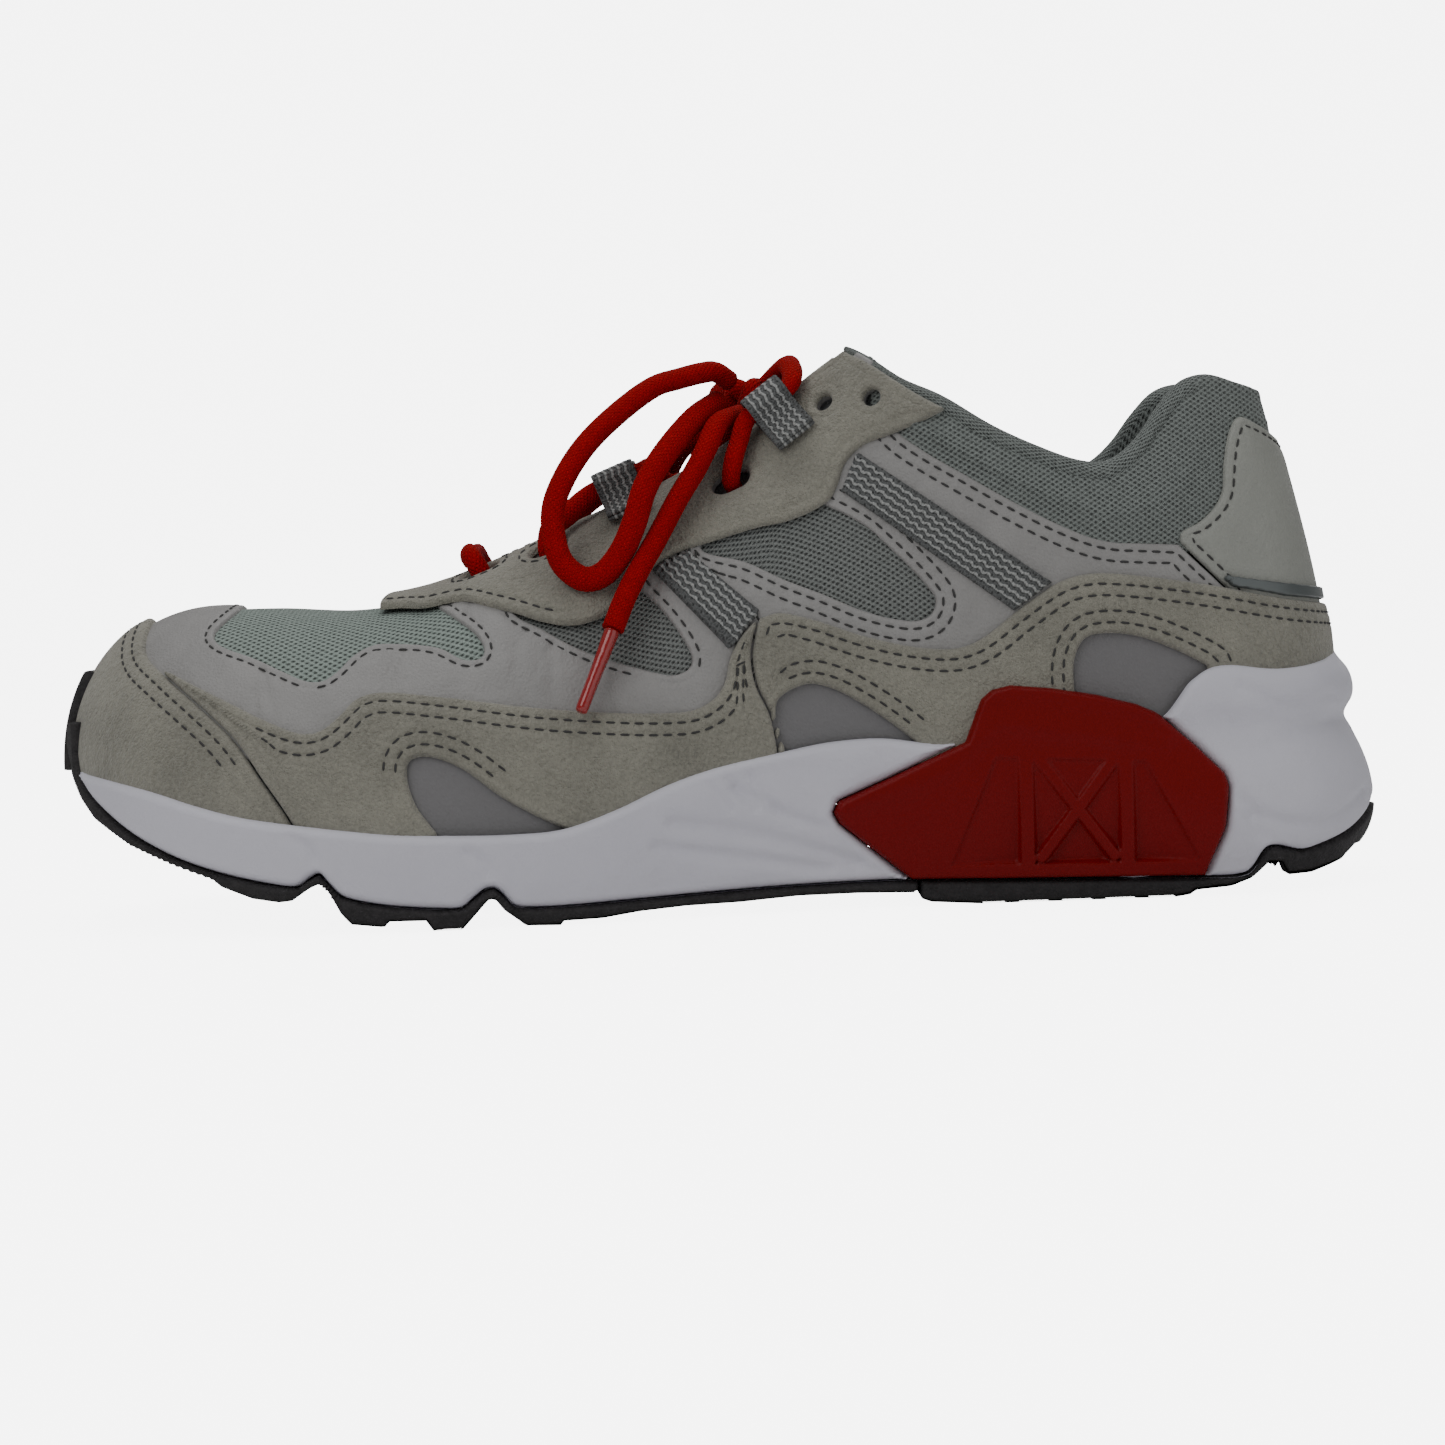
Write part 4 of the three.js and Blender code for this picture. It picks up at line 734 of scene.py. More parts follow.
def resample(path: Vec, step: float) -> Vec:
    """Points at an even step along a path."""
    length = np.concatenate([[0], np.cumsum(np.linalg.norm(np.diff(path, axis=0), axis=1))])
    count = max(int(length[-1] / step), 1)
    want = np.linspace(0, length[-1], count + 1)
    return np.column_stack([np.interp(want, length, column) for column in path.T])


@dataclass
class Thread:
    """Rows of sewn stitches, gathered and made as one piece."""

    name: str
    pitch: float = 3.1
    length: float = 2.3
    radius: float = 0.26
    parts: list[Vec] = field(default_factory=list)

    def row(self, points: Vec, normals: Vec, keep: Callable[[Vec], Vec] | None = None) -> None:
        """Adds a row of stitches along a line on a surface.

        Args:
            points: The line.
            normals: The surface's normals there.
            keep: Says which middles of stitches are sewn.
        """
        even = resample(np.hstack([points, normals]), self.pitch)
        mids = (even[1:, :3] + even[:-1, :3]) / 2
        along = unit(even[1:, :3] - even[:-1, :3])
        up = unit(even[1:, 3:] + even[:-1, 3:])
        wanted = np.ones(len(mids), bool) if keep is None else keep(mids)
        ring = np.linspace(0, 2 * math.pi, 6, endpoint=False)
        for mid, t, n in zip(mids[wanted], along[wanted], up[wanted], strict=True):
            side = np.cross(t, n)
            rings = []
            for share, size, sink in STITCH_RINGS:
                centre = mid + t * share * self.length - n * sink
                rings.append(
                    centre
                    + (side[None, :] * np.cos(ring)[:, None] + n[None, :] * np.sin(ring)[:, None])
                    * self.radius
                    * size
                )
            self.parts.append(np.vstack(rings))

    def make(self) -> bpy.types.Object:
        """Builds the stitches gathered so far."""
        faces = []
        for r in range(3):
            for k in range(6):
                m = (k + 1) % 6
                faces.append((r * 6 + k, r * 6 + m, (r + 1) * 6 + m, (r + 1) * 6 + k))
        faces = np.array(faces)
        all_faces = np.vstack([faces + 24 * k for k in range(len(self.parts))])
        verts = np.vstack(self.parts)
        made = new_object(self.name, verts, all_faces)
        recalculate(made)
        return made


# ------------------------------------------------------------ finishes
class Look(Enum):
    """Every finish on the shoe."""

    SUEDE = "suede"
    LEATHER = "leather"
    UNDERLAY = "underlay"
    HEEL_LEATHER = "heel_leather"
    TOE_MESH = "toe_mesh"
    COLLAR_MESH = "collar_mesh"
    KNIT = "knit"
    LINING = "lining"
    WEBBING = "webbing"
    LACE = "lace"
    AGLET = "aglet"
    STRIP = "strip"
    CLIP = "clip"
    FOAM = "foam"
    RUBBER = "rubber"
    DARK_THREAD = "dark_thread"
    TONGUE = "tongue"


class Shader:
    """Builds one material from nodes."""

    def __init__(self, name: str, color: Sequence[float], roughness: float) -> None:
        """Starts a material.

        Args:
            name: Its name.
            color: Base colour, linear.
            roughness: Surface roughness.
        """
        self.material = bpy.data.materials.new(name)
        self.material.use_nodes = True
        self.tree = self.material.node_tree
        self.surface = self.tree.nodes["Principled BSDF"]
        self.surface.inputs["Base Color"].default_value = (*color, 1)
        self.surface.inputs["Roughness"].default_value = roughness
        self.coords = self.tree.nodes.new("ShaderNodeTexCoord")

    def put(self, name: str, value: float) -> "Shader":
        """Sets an input of the surface."""
        self.surface.inputs[name].default_value = value
        return self

    def node(self, kind: str, **settings: object) -> bpy.types.Node:
        """Adds a node; settings name inputs with underscores for spaces, or its own options."""
        made = self.tree.nodes.new(kind)
        for key, value in settings.items():
            label = key.replace("_", " ")
            if label in made.inputs:
                made.inputs[label].default_value = value
            else:
                setattr(made, key, value)
        return made

    def link(self, out: bpy.types.NodeSocket, into: bpy.types.NodeSocket) -> None:
        """Joins two sockets."""
        self.tree.links.new(out, into)

    def noise(self, scale: float, detail: float = 3) -> bpy.types.NodeSocket:
        """A noise of that scale per metre."""
        made = self.node("ShaderNodeTexNoise", Scale=scale, Detail=detail)
        self.link(self.coords.outputs["Object"], made.inputs["Vector"])
        return made.outputs["Fac"]

    def cells(self, scale: float) -> bpy.types.NodeSocket:
        """Distance to the middle of the nearest cell."""
        made = self.node("ShaderNodeTexVoronoi", Scale=scale)
        self.link(self.coords.outputs["Object"], made.inputs["Vector"])
        return made.outputs["Distance"]

    def math(
        self, kind: str, a: object, b: object = 0.0, clamp: bool = False
    ) -> bpy.types.NodeSocket:
        """One arithmetic step on sockets or numbers."""
        made = self.node("ShaderNodeMath", operation=kind, use_clamp=clamp)
        for socket, value in zip(made.inputs, (a, b), strict=False):
            if isinstance(value, (int, float)):
                socket.default_value = value
            else:
                self.link(value, socket)
        return made.outputs[0]

    def uv(self) -> tuple[bpy.types.NodeSocket, bpy.types.NodeSocket]:
        """The piece's own pattern coordinates, in metres."""
        parts = self.node("ShaderNodeSeparateXYZ")
        self.link(self.coords.outputs["UV"], parts.inputs[0])
        return parts.outputs[0], parts.outputs[1]

    def affine(
        self, value: bpy.types.NodeSocket, scale: float, shift: float
    ) -> bpy.types.NodeSocket:
        """A value times a scale plus a shift."""
        made = self.math("MULTIPLY_ADD", value, scale)
        made.node.inputs[2].default_value = shift
        return made

    def wave(self, value: bpy.types.NodeSocket, per_metre: float) -> bpy.types.NodeSocket:
        """A sine of a coordinate, between 0 and 1."""
        turn = self.affine(value, per_metre * 2 * math.pi, 0.0)
        return self.affine(self.math("SINE", turn), 0.5, 0.5)

    def tint(
        self, by: bpy.types.NodeSocket, stops: Sequence[tuple[float, Sequence[float]]]
    ) -> "Shader":
        """Colours the surface by a value between 0 and 1."""
        ramp = self.node("ShaderNodeValToRGB")
        elements = ramp.color_ramp.elements
        while len(elements) < len(stops):
            elements.new(0.5)
        for element, (place, color) in zip(elements, stops, strict=True):
            element.position = place
            element.color = (*color, 1)
        self.link(by, ramp.inputs[0])
        self.link(ramp.outputs[0], self.surface.inputs["Base Color"])
        return self

    def bump(self, *layers: tuple[bpy.types.NodeSocket, float]) -> "Shader":
        """Relief from heights, each with its depth in metres."""
        normal = None
        for height, depth in layers:
            made = self.node("ShaderNodeBump", Strength=1.0, Distance=depth)
            self.link(height, made.inputs["Height"])
            if normal is not None:
                self.link(normal, made.inputs["Normal"])
            normal = made.outputs[0]
        if normal is not None:
            self.link(normal, self.surface.inputs["Normal"])
        return self


def shade(color: Sequence[float], by: float) -> tuple[float, ...]:
    """A colour made lighter or darker."""
    return tuple(min(1.0, c * by) for c in color)


class Finishes:
    """Makes each finish once."""

    def __init__(self) -> None:
        """Builds every material."""
        self.made = {look: getattr(self, look.value)() for look in Look}

    def __getitem__(self, look: Look) -> bpy.types.Material:
        """The material of a finish."""
        return self.made[look]

    def suede(self) -> bpy.types.Material:
        """Napped grey-beige suede."""
        base = (0.262, 0.252, 0.21)
        s = Shader("suede", base, 0.95)
        patch = s.math("MULTIPLY", s.noise(60, 4), 0.55)
        nap = s.math("ADD", patch, s.math("MULTIPLY", s.noise(1300, 3), 0.45))
        s.tint(nap, [(0.3, shade(base, 0.72)), (0.5, base), (0.72, shade(base, 1.26))])
        s.put("Sheen Weight", 0.25)
        return s.bump((s.noise(1700, 2), 0.0006), (s.noise(420, 3), 0.0008)).material

    def leather(self) -> bpy.types.Material:
        """Smooth pale grey leather with fine creases."""
        base = (0.295, 0.288, 0.282)
        s = Shader("smooth_leather", base, 0.55)
        s.tint(s.noise(90, 4), [(0.3, shade(base, 0.92)), (0.7, shade(base, 1.06))])
        return s.bump((s.noise(160, 5), 0.0006), (s.cells(1500), 0.00012)).material

    def underlay(self) -> bpy.types.Material:
        """Matt grey synthetic leather."""
        base = (0.176, 0.172, 0.176)
        s = Shader("underlay", base, 0.6)
        return s.bump((s.cells(1500), 0.0001), (s.noise(120, 3), 0.0002)).material

    def heel_leather(self) -> bpy.types.Material:
        """Grey-green leather of the heel."""
        base = (0.305, 0.312, 0.284)
        s = Shader("heel_leather", base, 0.62)
        s.tint(s.noise(70, 3), [(0.3, shade(base, 0.93)), (0.7, shade(base, 1.05))])
        return s.bump((s.noise(500, 4), 0.0003), (s.cells(1300), 0.0001)).material

    def _open_mesh(
        self, name: str, base: Sequence[float], pitch: tuple[float, float], hole: float,
        depth: float, fleck: float = 1.3,
    ) -> Shader:
        """A knit with staggered rows of small holes, on the pattern coordinates.

        Args:
            name: The material's name.
            base: Its colour, linear.
            pitch: How far apart the holes are, along and across, in metres.
            hole: How small the holes are, from 0 to 1.
            depth: How dark they are: painted shade inside the holes, partly also the darker layer
                seen through them.
            fleck: How much lighter than the base the palest yarns are.

        Returns:
            The material's builder.
        """
        s = Shader(name, base, 0.85)
        u, v = s.uv()
        u, v = s.math("MULTIPLY", u, 1 / pitch[0]), s.math("MULTIPLY", v, 1 / pitch[1])
        along = s.wave(s.math("ADD", u, v), 1.0)
        cross = s.wave(s.math("SUBTRACT", u, v), 1.0)
        hole_here = s.math("MULTIPLY", along, cross)
        # The holes are painted dark: painted shade inside them, partly also the darker layer seen
        # through them.
        dark = s.math("MULTIPLY", s.math("SUBTRACT", hole_here, hole), 6.0, clamp=True)
        yarn = s.math("MULTIPLY", s.noise(2000, 2), 0.4)
        pale = s.math("ADD", 0.62, yarn)
        tone = s.math("SUBTRACT", pale, s.math("MULTIPLY", dark, depth), clamp=True)
        tones = ((0.0, 0.12), (0.45, 0.75), (1.0, fleck))
        s.tint(tone, [(place, shade(base, by)) for place, by in tones])
        s.bump((s.math("SUBTRACT", 1.0, hole_here), 0.0007), (s.noise(2600, 2), 0.0002))
        return s

    def toe_mesh(self) -> bpy.types.Material:
        """The open mesh of the toe box."""
        base = (0.27, 0.325, 0.295)
        return self._open_mesh("toe_mesh", base, (0.0021, 0.0016), 0.5, 0.7).material

    def collar_mesh(self) -> bpy.types.Material:
        """The coarse knit of the collar."""
        base = (0.16, 0.177, 0.168)
        return self._open_mesh("collar_mesh", base, (0.0018, 0.0012), 0.56, 0.55, 1.7).material

    def knit(self) -> bpy.types.Material:
        """The pale-flecked knit in the side windows."""
        base = (0.118, 0.126, 0.121)
        return self._open_mesh("window_knit", base, (0.0019, 0.0013), 0.56, 0.6, 2.3).material

    def lining(self) -> bpy.types.Material:
        """Soft grey lining."""
        base = (0.19, 0.2, 0.205)
        s = Shader("lining", base, 0.95)
        s.tint(s.noise(1500, 2), [(0.3, shade(base, 0.85)), (0.7, shade(base, 1.12))])
        return s.bump((s.noise(1800, 2), 0.0004)).put("Sheen Weight", 0.2).material

    def tongue(self) -> bpy.types.Material:
        """The tongue's padded fabric."""
        base = (0.2, 0.216, 0.208)
        s = Shader("tongue_knit", base, 0.9)
        weave = s.math("MULTIPLY", s.noise(1500, 2), s.cells(900))
        s.tint(weave, [(0.05, shade(base, 1.3)), (0.3, base), (0.5, shade(base, 0.5))])
        return s.bump((weave, 0.0005)).put("Sheen Weight", 0.2).material

    def webbing(self) -> bpy.types.Material:
        """Ribbed grey webbing with pale wavy yarns along its middle."""
        base = (0.13, 0.135, 0.135)
        s = Shader("webbing", base, 0.85)
        u, v = s.uv()
        wobble = s.math("MULTIPLY", s.wave(u, 420), 0.00045)
        ribs = s.wave(s.math("ADD", v, wobble), 620)
        middle = s.math("LESS_THAN", s.math("ABSOLUTE", v), 0.0036)
        pale = s.math("MULTIPLY", s.math("GREATER_THAN", ribs, 0.62), middle)
        fine = s.math("MULTIPLY", s.noise(2200, 2), 0.3)
        s.tint(
            s.math("ADD", s.math("MULTIPLY", pale, 0.62), fine, clamp=True),
            [(0.0, shade(base, 0.8)), (0.35, shade(base, 1.1)), (0.85, (0.42, 0.43, 0.42))],
        )
        cross = s.wave(u, 900)
        return s.bump((ribs, 0.0006), (cross, 0.0003)).material

    def lace(self) -> bpy.types.Material:
        """Bright red braid, with painted highlight on the weave's crests and painted shade in its
        grooves.
        """
        base = (0.46, 0.003, 0.004)
        s = Shader("lace_braid", base, 0.85).put("Specular IOR Level", 0.12)
        u, v = s.uv()
        plait = s.wave(s.math("ADD", u, v), 900)
        other = s.wave(s.math("SUBTRACT", u, v), 900)
        weave = s.math("MULTIPLY", plait, other)
        # Painted highlight and shade: the weave's crests are coloured lighter and its grooves
        # darker, following the bump.
        s.tint(weave, [(0.0, shade(base, 0.7)), (0.5, base), (1.0, shade(base, 1.25))])
        return s.bump((weave, 0.0004), (s.noise(2500, 2), 0.0002)).material

    def aglet(self) -> bpy.types.Material:
        """Glossy clear red film over braid."""
        s = Shader("aglet_film", (0.3, 0.003, 0.004), 0.16)
        return s.bump((s.noise(350, 2), 0.0004)).put("Coat Weight", 0.8).material

    def strip(self) -> bpy.types.Material:
        """Satin dark grey reflective film."""
        return Shader("reflective_film", (0.12, 0.135, 0.135), 0.32).put("Metallic", 0.35).material

    def clip(self) -> bpy.types.Material:
        """Dark red moulded plastic."""
        base = (0.175, 0.0, 0.0005)
        s = Shader("clip_plastic", base, 0.45).put("Specular IOR Level", 0.18)
        return s.bump((s.noise(900, 3), 0.00012)).material

    def foam(self) -> bpy.types.Material:
        """White moulded foam skin."""
        base = (0.64, 0.632, 0.70)
        s = Shader("midsole_foam", base, 0.55)
        s.tint(s.noise(40, 4), [(0.3, shade(base, 0.97)), (0.7, shade(base, 1.02))])
        return s.bump((s.noise(70, 4), 0.0008), (s.noise(1500, 2), 0.00008)).material

    def rubber(self) -> bpy.types.Material:
        """Charcoal rubber."""
        base = (0.016, 0.0145, 0.0155)
        s = Shader("outsole_rubber", base, 0.7)
        s.tint(s.noise(500, 3), [(0.3, shade(base, 0.7)), (0.7, shade(base, 1.6))])
        return s.bump((s.noise(1400, 3), 0.0004)).material

    def dark_thread(self) -> bpy.types.Material:
        """Dark grey sewing thread."""
        return Shader("dark_thread", (0.045, 0.045, 0.044), 0.8).material


# ------------------------------------------------------------ the lasted surface
ALL_RIBS = np.array([HEEL_RIB, *MEDIAL_RIBS, TOE_RIB, *LATERAL_RIBS], float)


def rib_at(around: Vec) -> Vec:
    """The rib at each share of the way round, from the heel over the medial side."""
    u = (np.asarray(around, float) % 1.0) * len(ALL_RIBS)
    i = np.floor(u).astype(int)
    t = (u - i)[..., None]
    a, b, c, d = (ALL_RIBS[(i + k) % len(ALL_RIBS)] for k in (-1, 0, 1, 2))
    value = 0.5 * (
        2 * b + (c - a) * t + (2 * a - 5 * b + 4 * c - d) * t**2 + (3 * b - a - 3 * c + d) * t**3
    )
    ankle = value[..., 2] > FACING_TOP
    half = u < len(ALL_RIBS) / 2
    top_y = np.where(half, np.minimum(value[..., 3], 0), np.maximum(value[..., 3], 0))
    value[..., 3] = np.where(ankle, top_y, 0)
    return value


def last_points(around: Vec, up: Vec) -> Vec:
    """Places on the last."""
    around, up = np.broadcast_arrays(np.asarray(around, float), np.asarray(up, float))
    fx, fy, tx, ty, full = np.moveaxis(rib_at(around), -1, 0)
    turn = np.clip(up, 0, 1) * math.pi / 2
    out = np.where(up >= 1, 0, np.cos(turn) ** (2 / full))
    rise = np.sin(turn) ** (2 / full)
    foot, top = height_along(FEATHER_LINE, fx), height_along(RIDGE_LINE, tx)
    x, z = tx + (fx - tx) * out, foot + (top - foot) * rise
    x = x - HEEL_LEAN * ease(*LEAN_Z, z) * ease(*LEAN_X, x)
    return np.stack([x, ty + (fy - ty) * out, z], -1)


def grid_normals(points: Vec) -> Vec:
    """Outward normals of a grid that runs round the shoe and then up."""
    along = np.gradient(points, axis=0)
    along[0] = along[-1] = (points[1] - points[-2]) / 2
    return unit(np.cross(np.gradient(points, axis=1), along))


def make_last() -> Chart:
    """The fine grid over the last."""
    around = np.linspace(0, 1, AROUND + 1)[:, None]
    up = np.linspace(0, 1, UP + 1)[None, :]
    points = last_points(around, up)
    normals = grid_normals(points)
    joined = points[:, -1, 0] <= FACING_TOP
    both = unit(normals[:, -1] + normals[::-1, -1])
    normals[joined, -1] = both[joined]
    climb = np.linalg.norm(np.diff(points[:, ::-1], axis=1), axis=2)
    climb = np.hstack([np.zeros((AROUND + 1, 1)), np.cumsum(climb, axis=1)])[:, ::-1]
    side = np.where(np.arange(AROUND + 1) <= AROUND / 2, -1.0, 1.0)[:, None]
    uv = np.stack([points[..., 0], climb * side], -1)
    return Chart(points, normals, uv)


LAST = make_last()


def over(x: float, y: float, height: float) -> Vec:
    """The place over the last at a plan position, raised along the normal."""
    point, normal = on_last(x, y)
    return point + normal * height


def on_last(x: float, y: float) -> tuple[Vec, Vec]:
    """The nearest place of the last to a plan position, and its upward normal."""
    first = int(AROUND * (0.1 if y < 0 else 0.5))
    block = LAST.points[first : first + int(AROUND * 0.4) + 1, UP // 2 :]
    gap = (block[..., 0] - x) ** 2 + (block[..., 1] - y) ** 2
    i, j = np.unravel_index(np.argmin(gap), gap.shape)
    normal = LAST.normals[first + i, min(UP // 2 + j, UP)]
    return block[i, j], normal * (1 if normal[2] > 0 else -1)


def side_field(outline: Vec, height: float, sign: int = 0) -> Vec:
    """A side-view outline as a field over the last, at a layer's height.

    Args:
        outline: The outline, as x and z.
        height: The layer's height over the last.
        sign: -1 for the medial side alone, 1 for the lateral one, 0 for both.

    Returns:
        The distance inside the outline at each grid point.
    """
    at = LAST.at(height)
    value = signed_distance(outline, at[..., 0], at[..., 2])
    if sign:
        value = np.minimum(value, sign * at[..., 1] - GAP / 2)
    return value


def plan_field(outline: Vec, height: float) -> Vec:
    """A plan outline as a field over the last."""
    at = LAST.at(height)
    value = signed_distance(outline, at[..., 0], at[..., 1])
    return np.where(at[..., 2] > 55, value, -FAR)


UNDER_TOPLINE = loop([(-180, -5), (-180, 145), (14, 145)], smooth(TOPLINE), [(180, 108), (180, -5)])
THROAT = loop(smooth(THROAT_PLAN[:10], 5), smooth(THROAT_PLAN[10:], 5))


@dataclass
class Panel:
    """One sewn panel of the upper."""

    name: str
    look: Look
    slot: str
    nodes: tuple[str, ...]
    outline: Vec
    layer: tuple[float, float]
    windows: tuple[Vec, ...] = ()
    sign: int = 0
    edge: float = 0.9
    puff: float = 0.0
    puff_width: float = 6.0
    rows: tuple[float, ...] = ()
    sewn: Callable[[Vec], Vec] | None = None
    holes: tuple[tuple[float, float, float, float], ...] = ()  # x, y, half length, half width
    groove: float = 0.22
    relief: Callable[[Vec, Vec], Vec] | None = None
    above: float = 0.0
    fill: float | None = None  # how tightly it is padded, if it is

    def value(self) -> Vec:
        """Distance inside the panel, on the last's grid."""
        inner, outer = self.layer
        middle = (inner + outer) / 2
        value = side_field(self.outline, middle, self.sign)
        for window in self.windows:
            value = np.minimum(value, -side_field(window, middle))
        value = np.minimum(value, side_field(UNDER_TOPLINE, middle) + self.above)
        value = np.minimum(value, -plan_field(THROAT, middle))
        value = LAST.true_distance(value)
        at = LAST.at(middle)
        for x, y, half_length, half_width in self.holes:
            for side in (-1, 1):
                centre, normal = on_last(x, side * y)
                centre = centre + normal * middle
                along = unit(over(x + 4, side * y, 0) - over(x - 4, side * y, 0))
                offset = at - centre
                run = np.abs(offset @ along) - (half_length - half_width)
                rest = offset - (offset @ along)[..., None] * along
                reach = np.sqrt((rest**2).sum(-1) + np.maximum(run, 0) ** 2)
                value = np.minimum(value, reach - half_width)
        return value

    def build(self, finishes: Finishes, thread: Thread) -> None:
        """Makes the panel and sews it.

        Args:
            finishes: The finishes.
            thread: The thread to add its stitches to.
        """
        inner, outer = self.layer
        levels = sorted({*EDGE_LEVELS, *self.rows, *(r - 0.35 for r in self.rows),
                         *(r + 0.35 for r in self.rows)})
        cut = cut_out(LAST, self.value(), levels=levels)
        d = cut.distance
        heights = inner + rolled(outer - inner, self.edge)(d)
        swell = np.clip(d / self.puff_width, 0, 1)
        heights = heights + self.puff * np.sin(swell * math.pi / 2)
        for row in self.rows:
            heights = heights - self.groove * np.exp(-(((d - row) / 0.45) ** 2))
        if self.relief is not None:
            heights = heights + self.relief(cut.points + cut.normals * outer, d) * ease(0, 2.5, d)
        for row in self.rows:
            for chain in rows_at(cut, row):
                points = cut.points[chain] + cut.normals[chain] * (heights[chain] + 0.12)[:, None]
                thread.row(points, cut.normals[chain], self.sewn)
        made = put(shell(self.name, cut, heights), finishes[self.look], self.nodes)


def creases(seed: int, count: int, spread: float, depth: float) -> Callable[[Vec, Vec], Vec]:
    """Soft wrinkles: a few short folds at random places and angles.

    Args:
        seed: The random seed.
        count: How many.
        spread: Half the length of each, mm.
        depth: How deep.

    Returns:
        A function from places to heights.
    """
    rng = np.random.default_rng(seed)
    folds = np.column_stack([
        rng.uniform(-110, 60, count),
        rng.uniform(45, 100, count),
        rng.uniform(0.6, 1.9, count),
        rng.uniform(0.5, 1.0, count) * spread,
    ])

    def relief(points: Vec, _: Vec) -> Vec:
        total = np.zeros(len(points))
        for x, z, angle, size in folds:
            dx, dz = points[:, 0] - x, points[:, 2] - z
            run = dx * math.cos(angle) + dz * math.sin(angle)
            off = -dx * math.sin(angle) + dz * math.cos(angle) + run * run * 0.01
            total -= depth * np.exp(-((off / 0.9) ** 2) - (run / size) ** 2)
        return total

    return relief


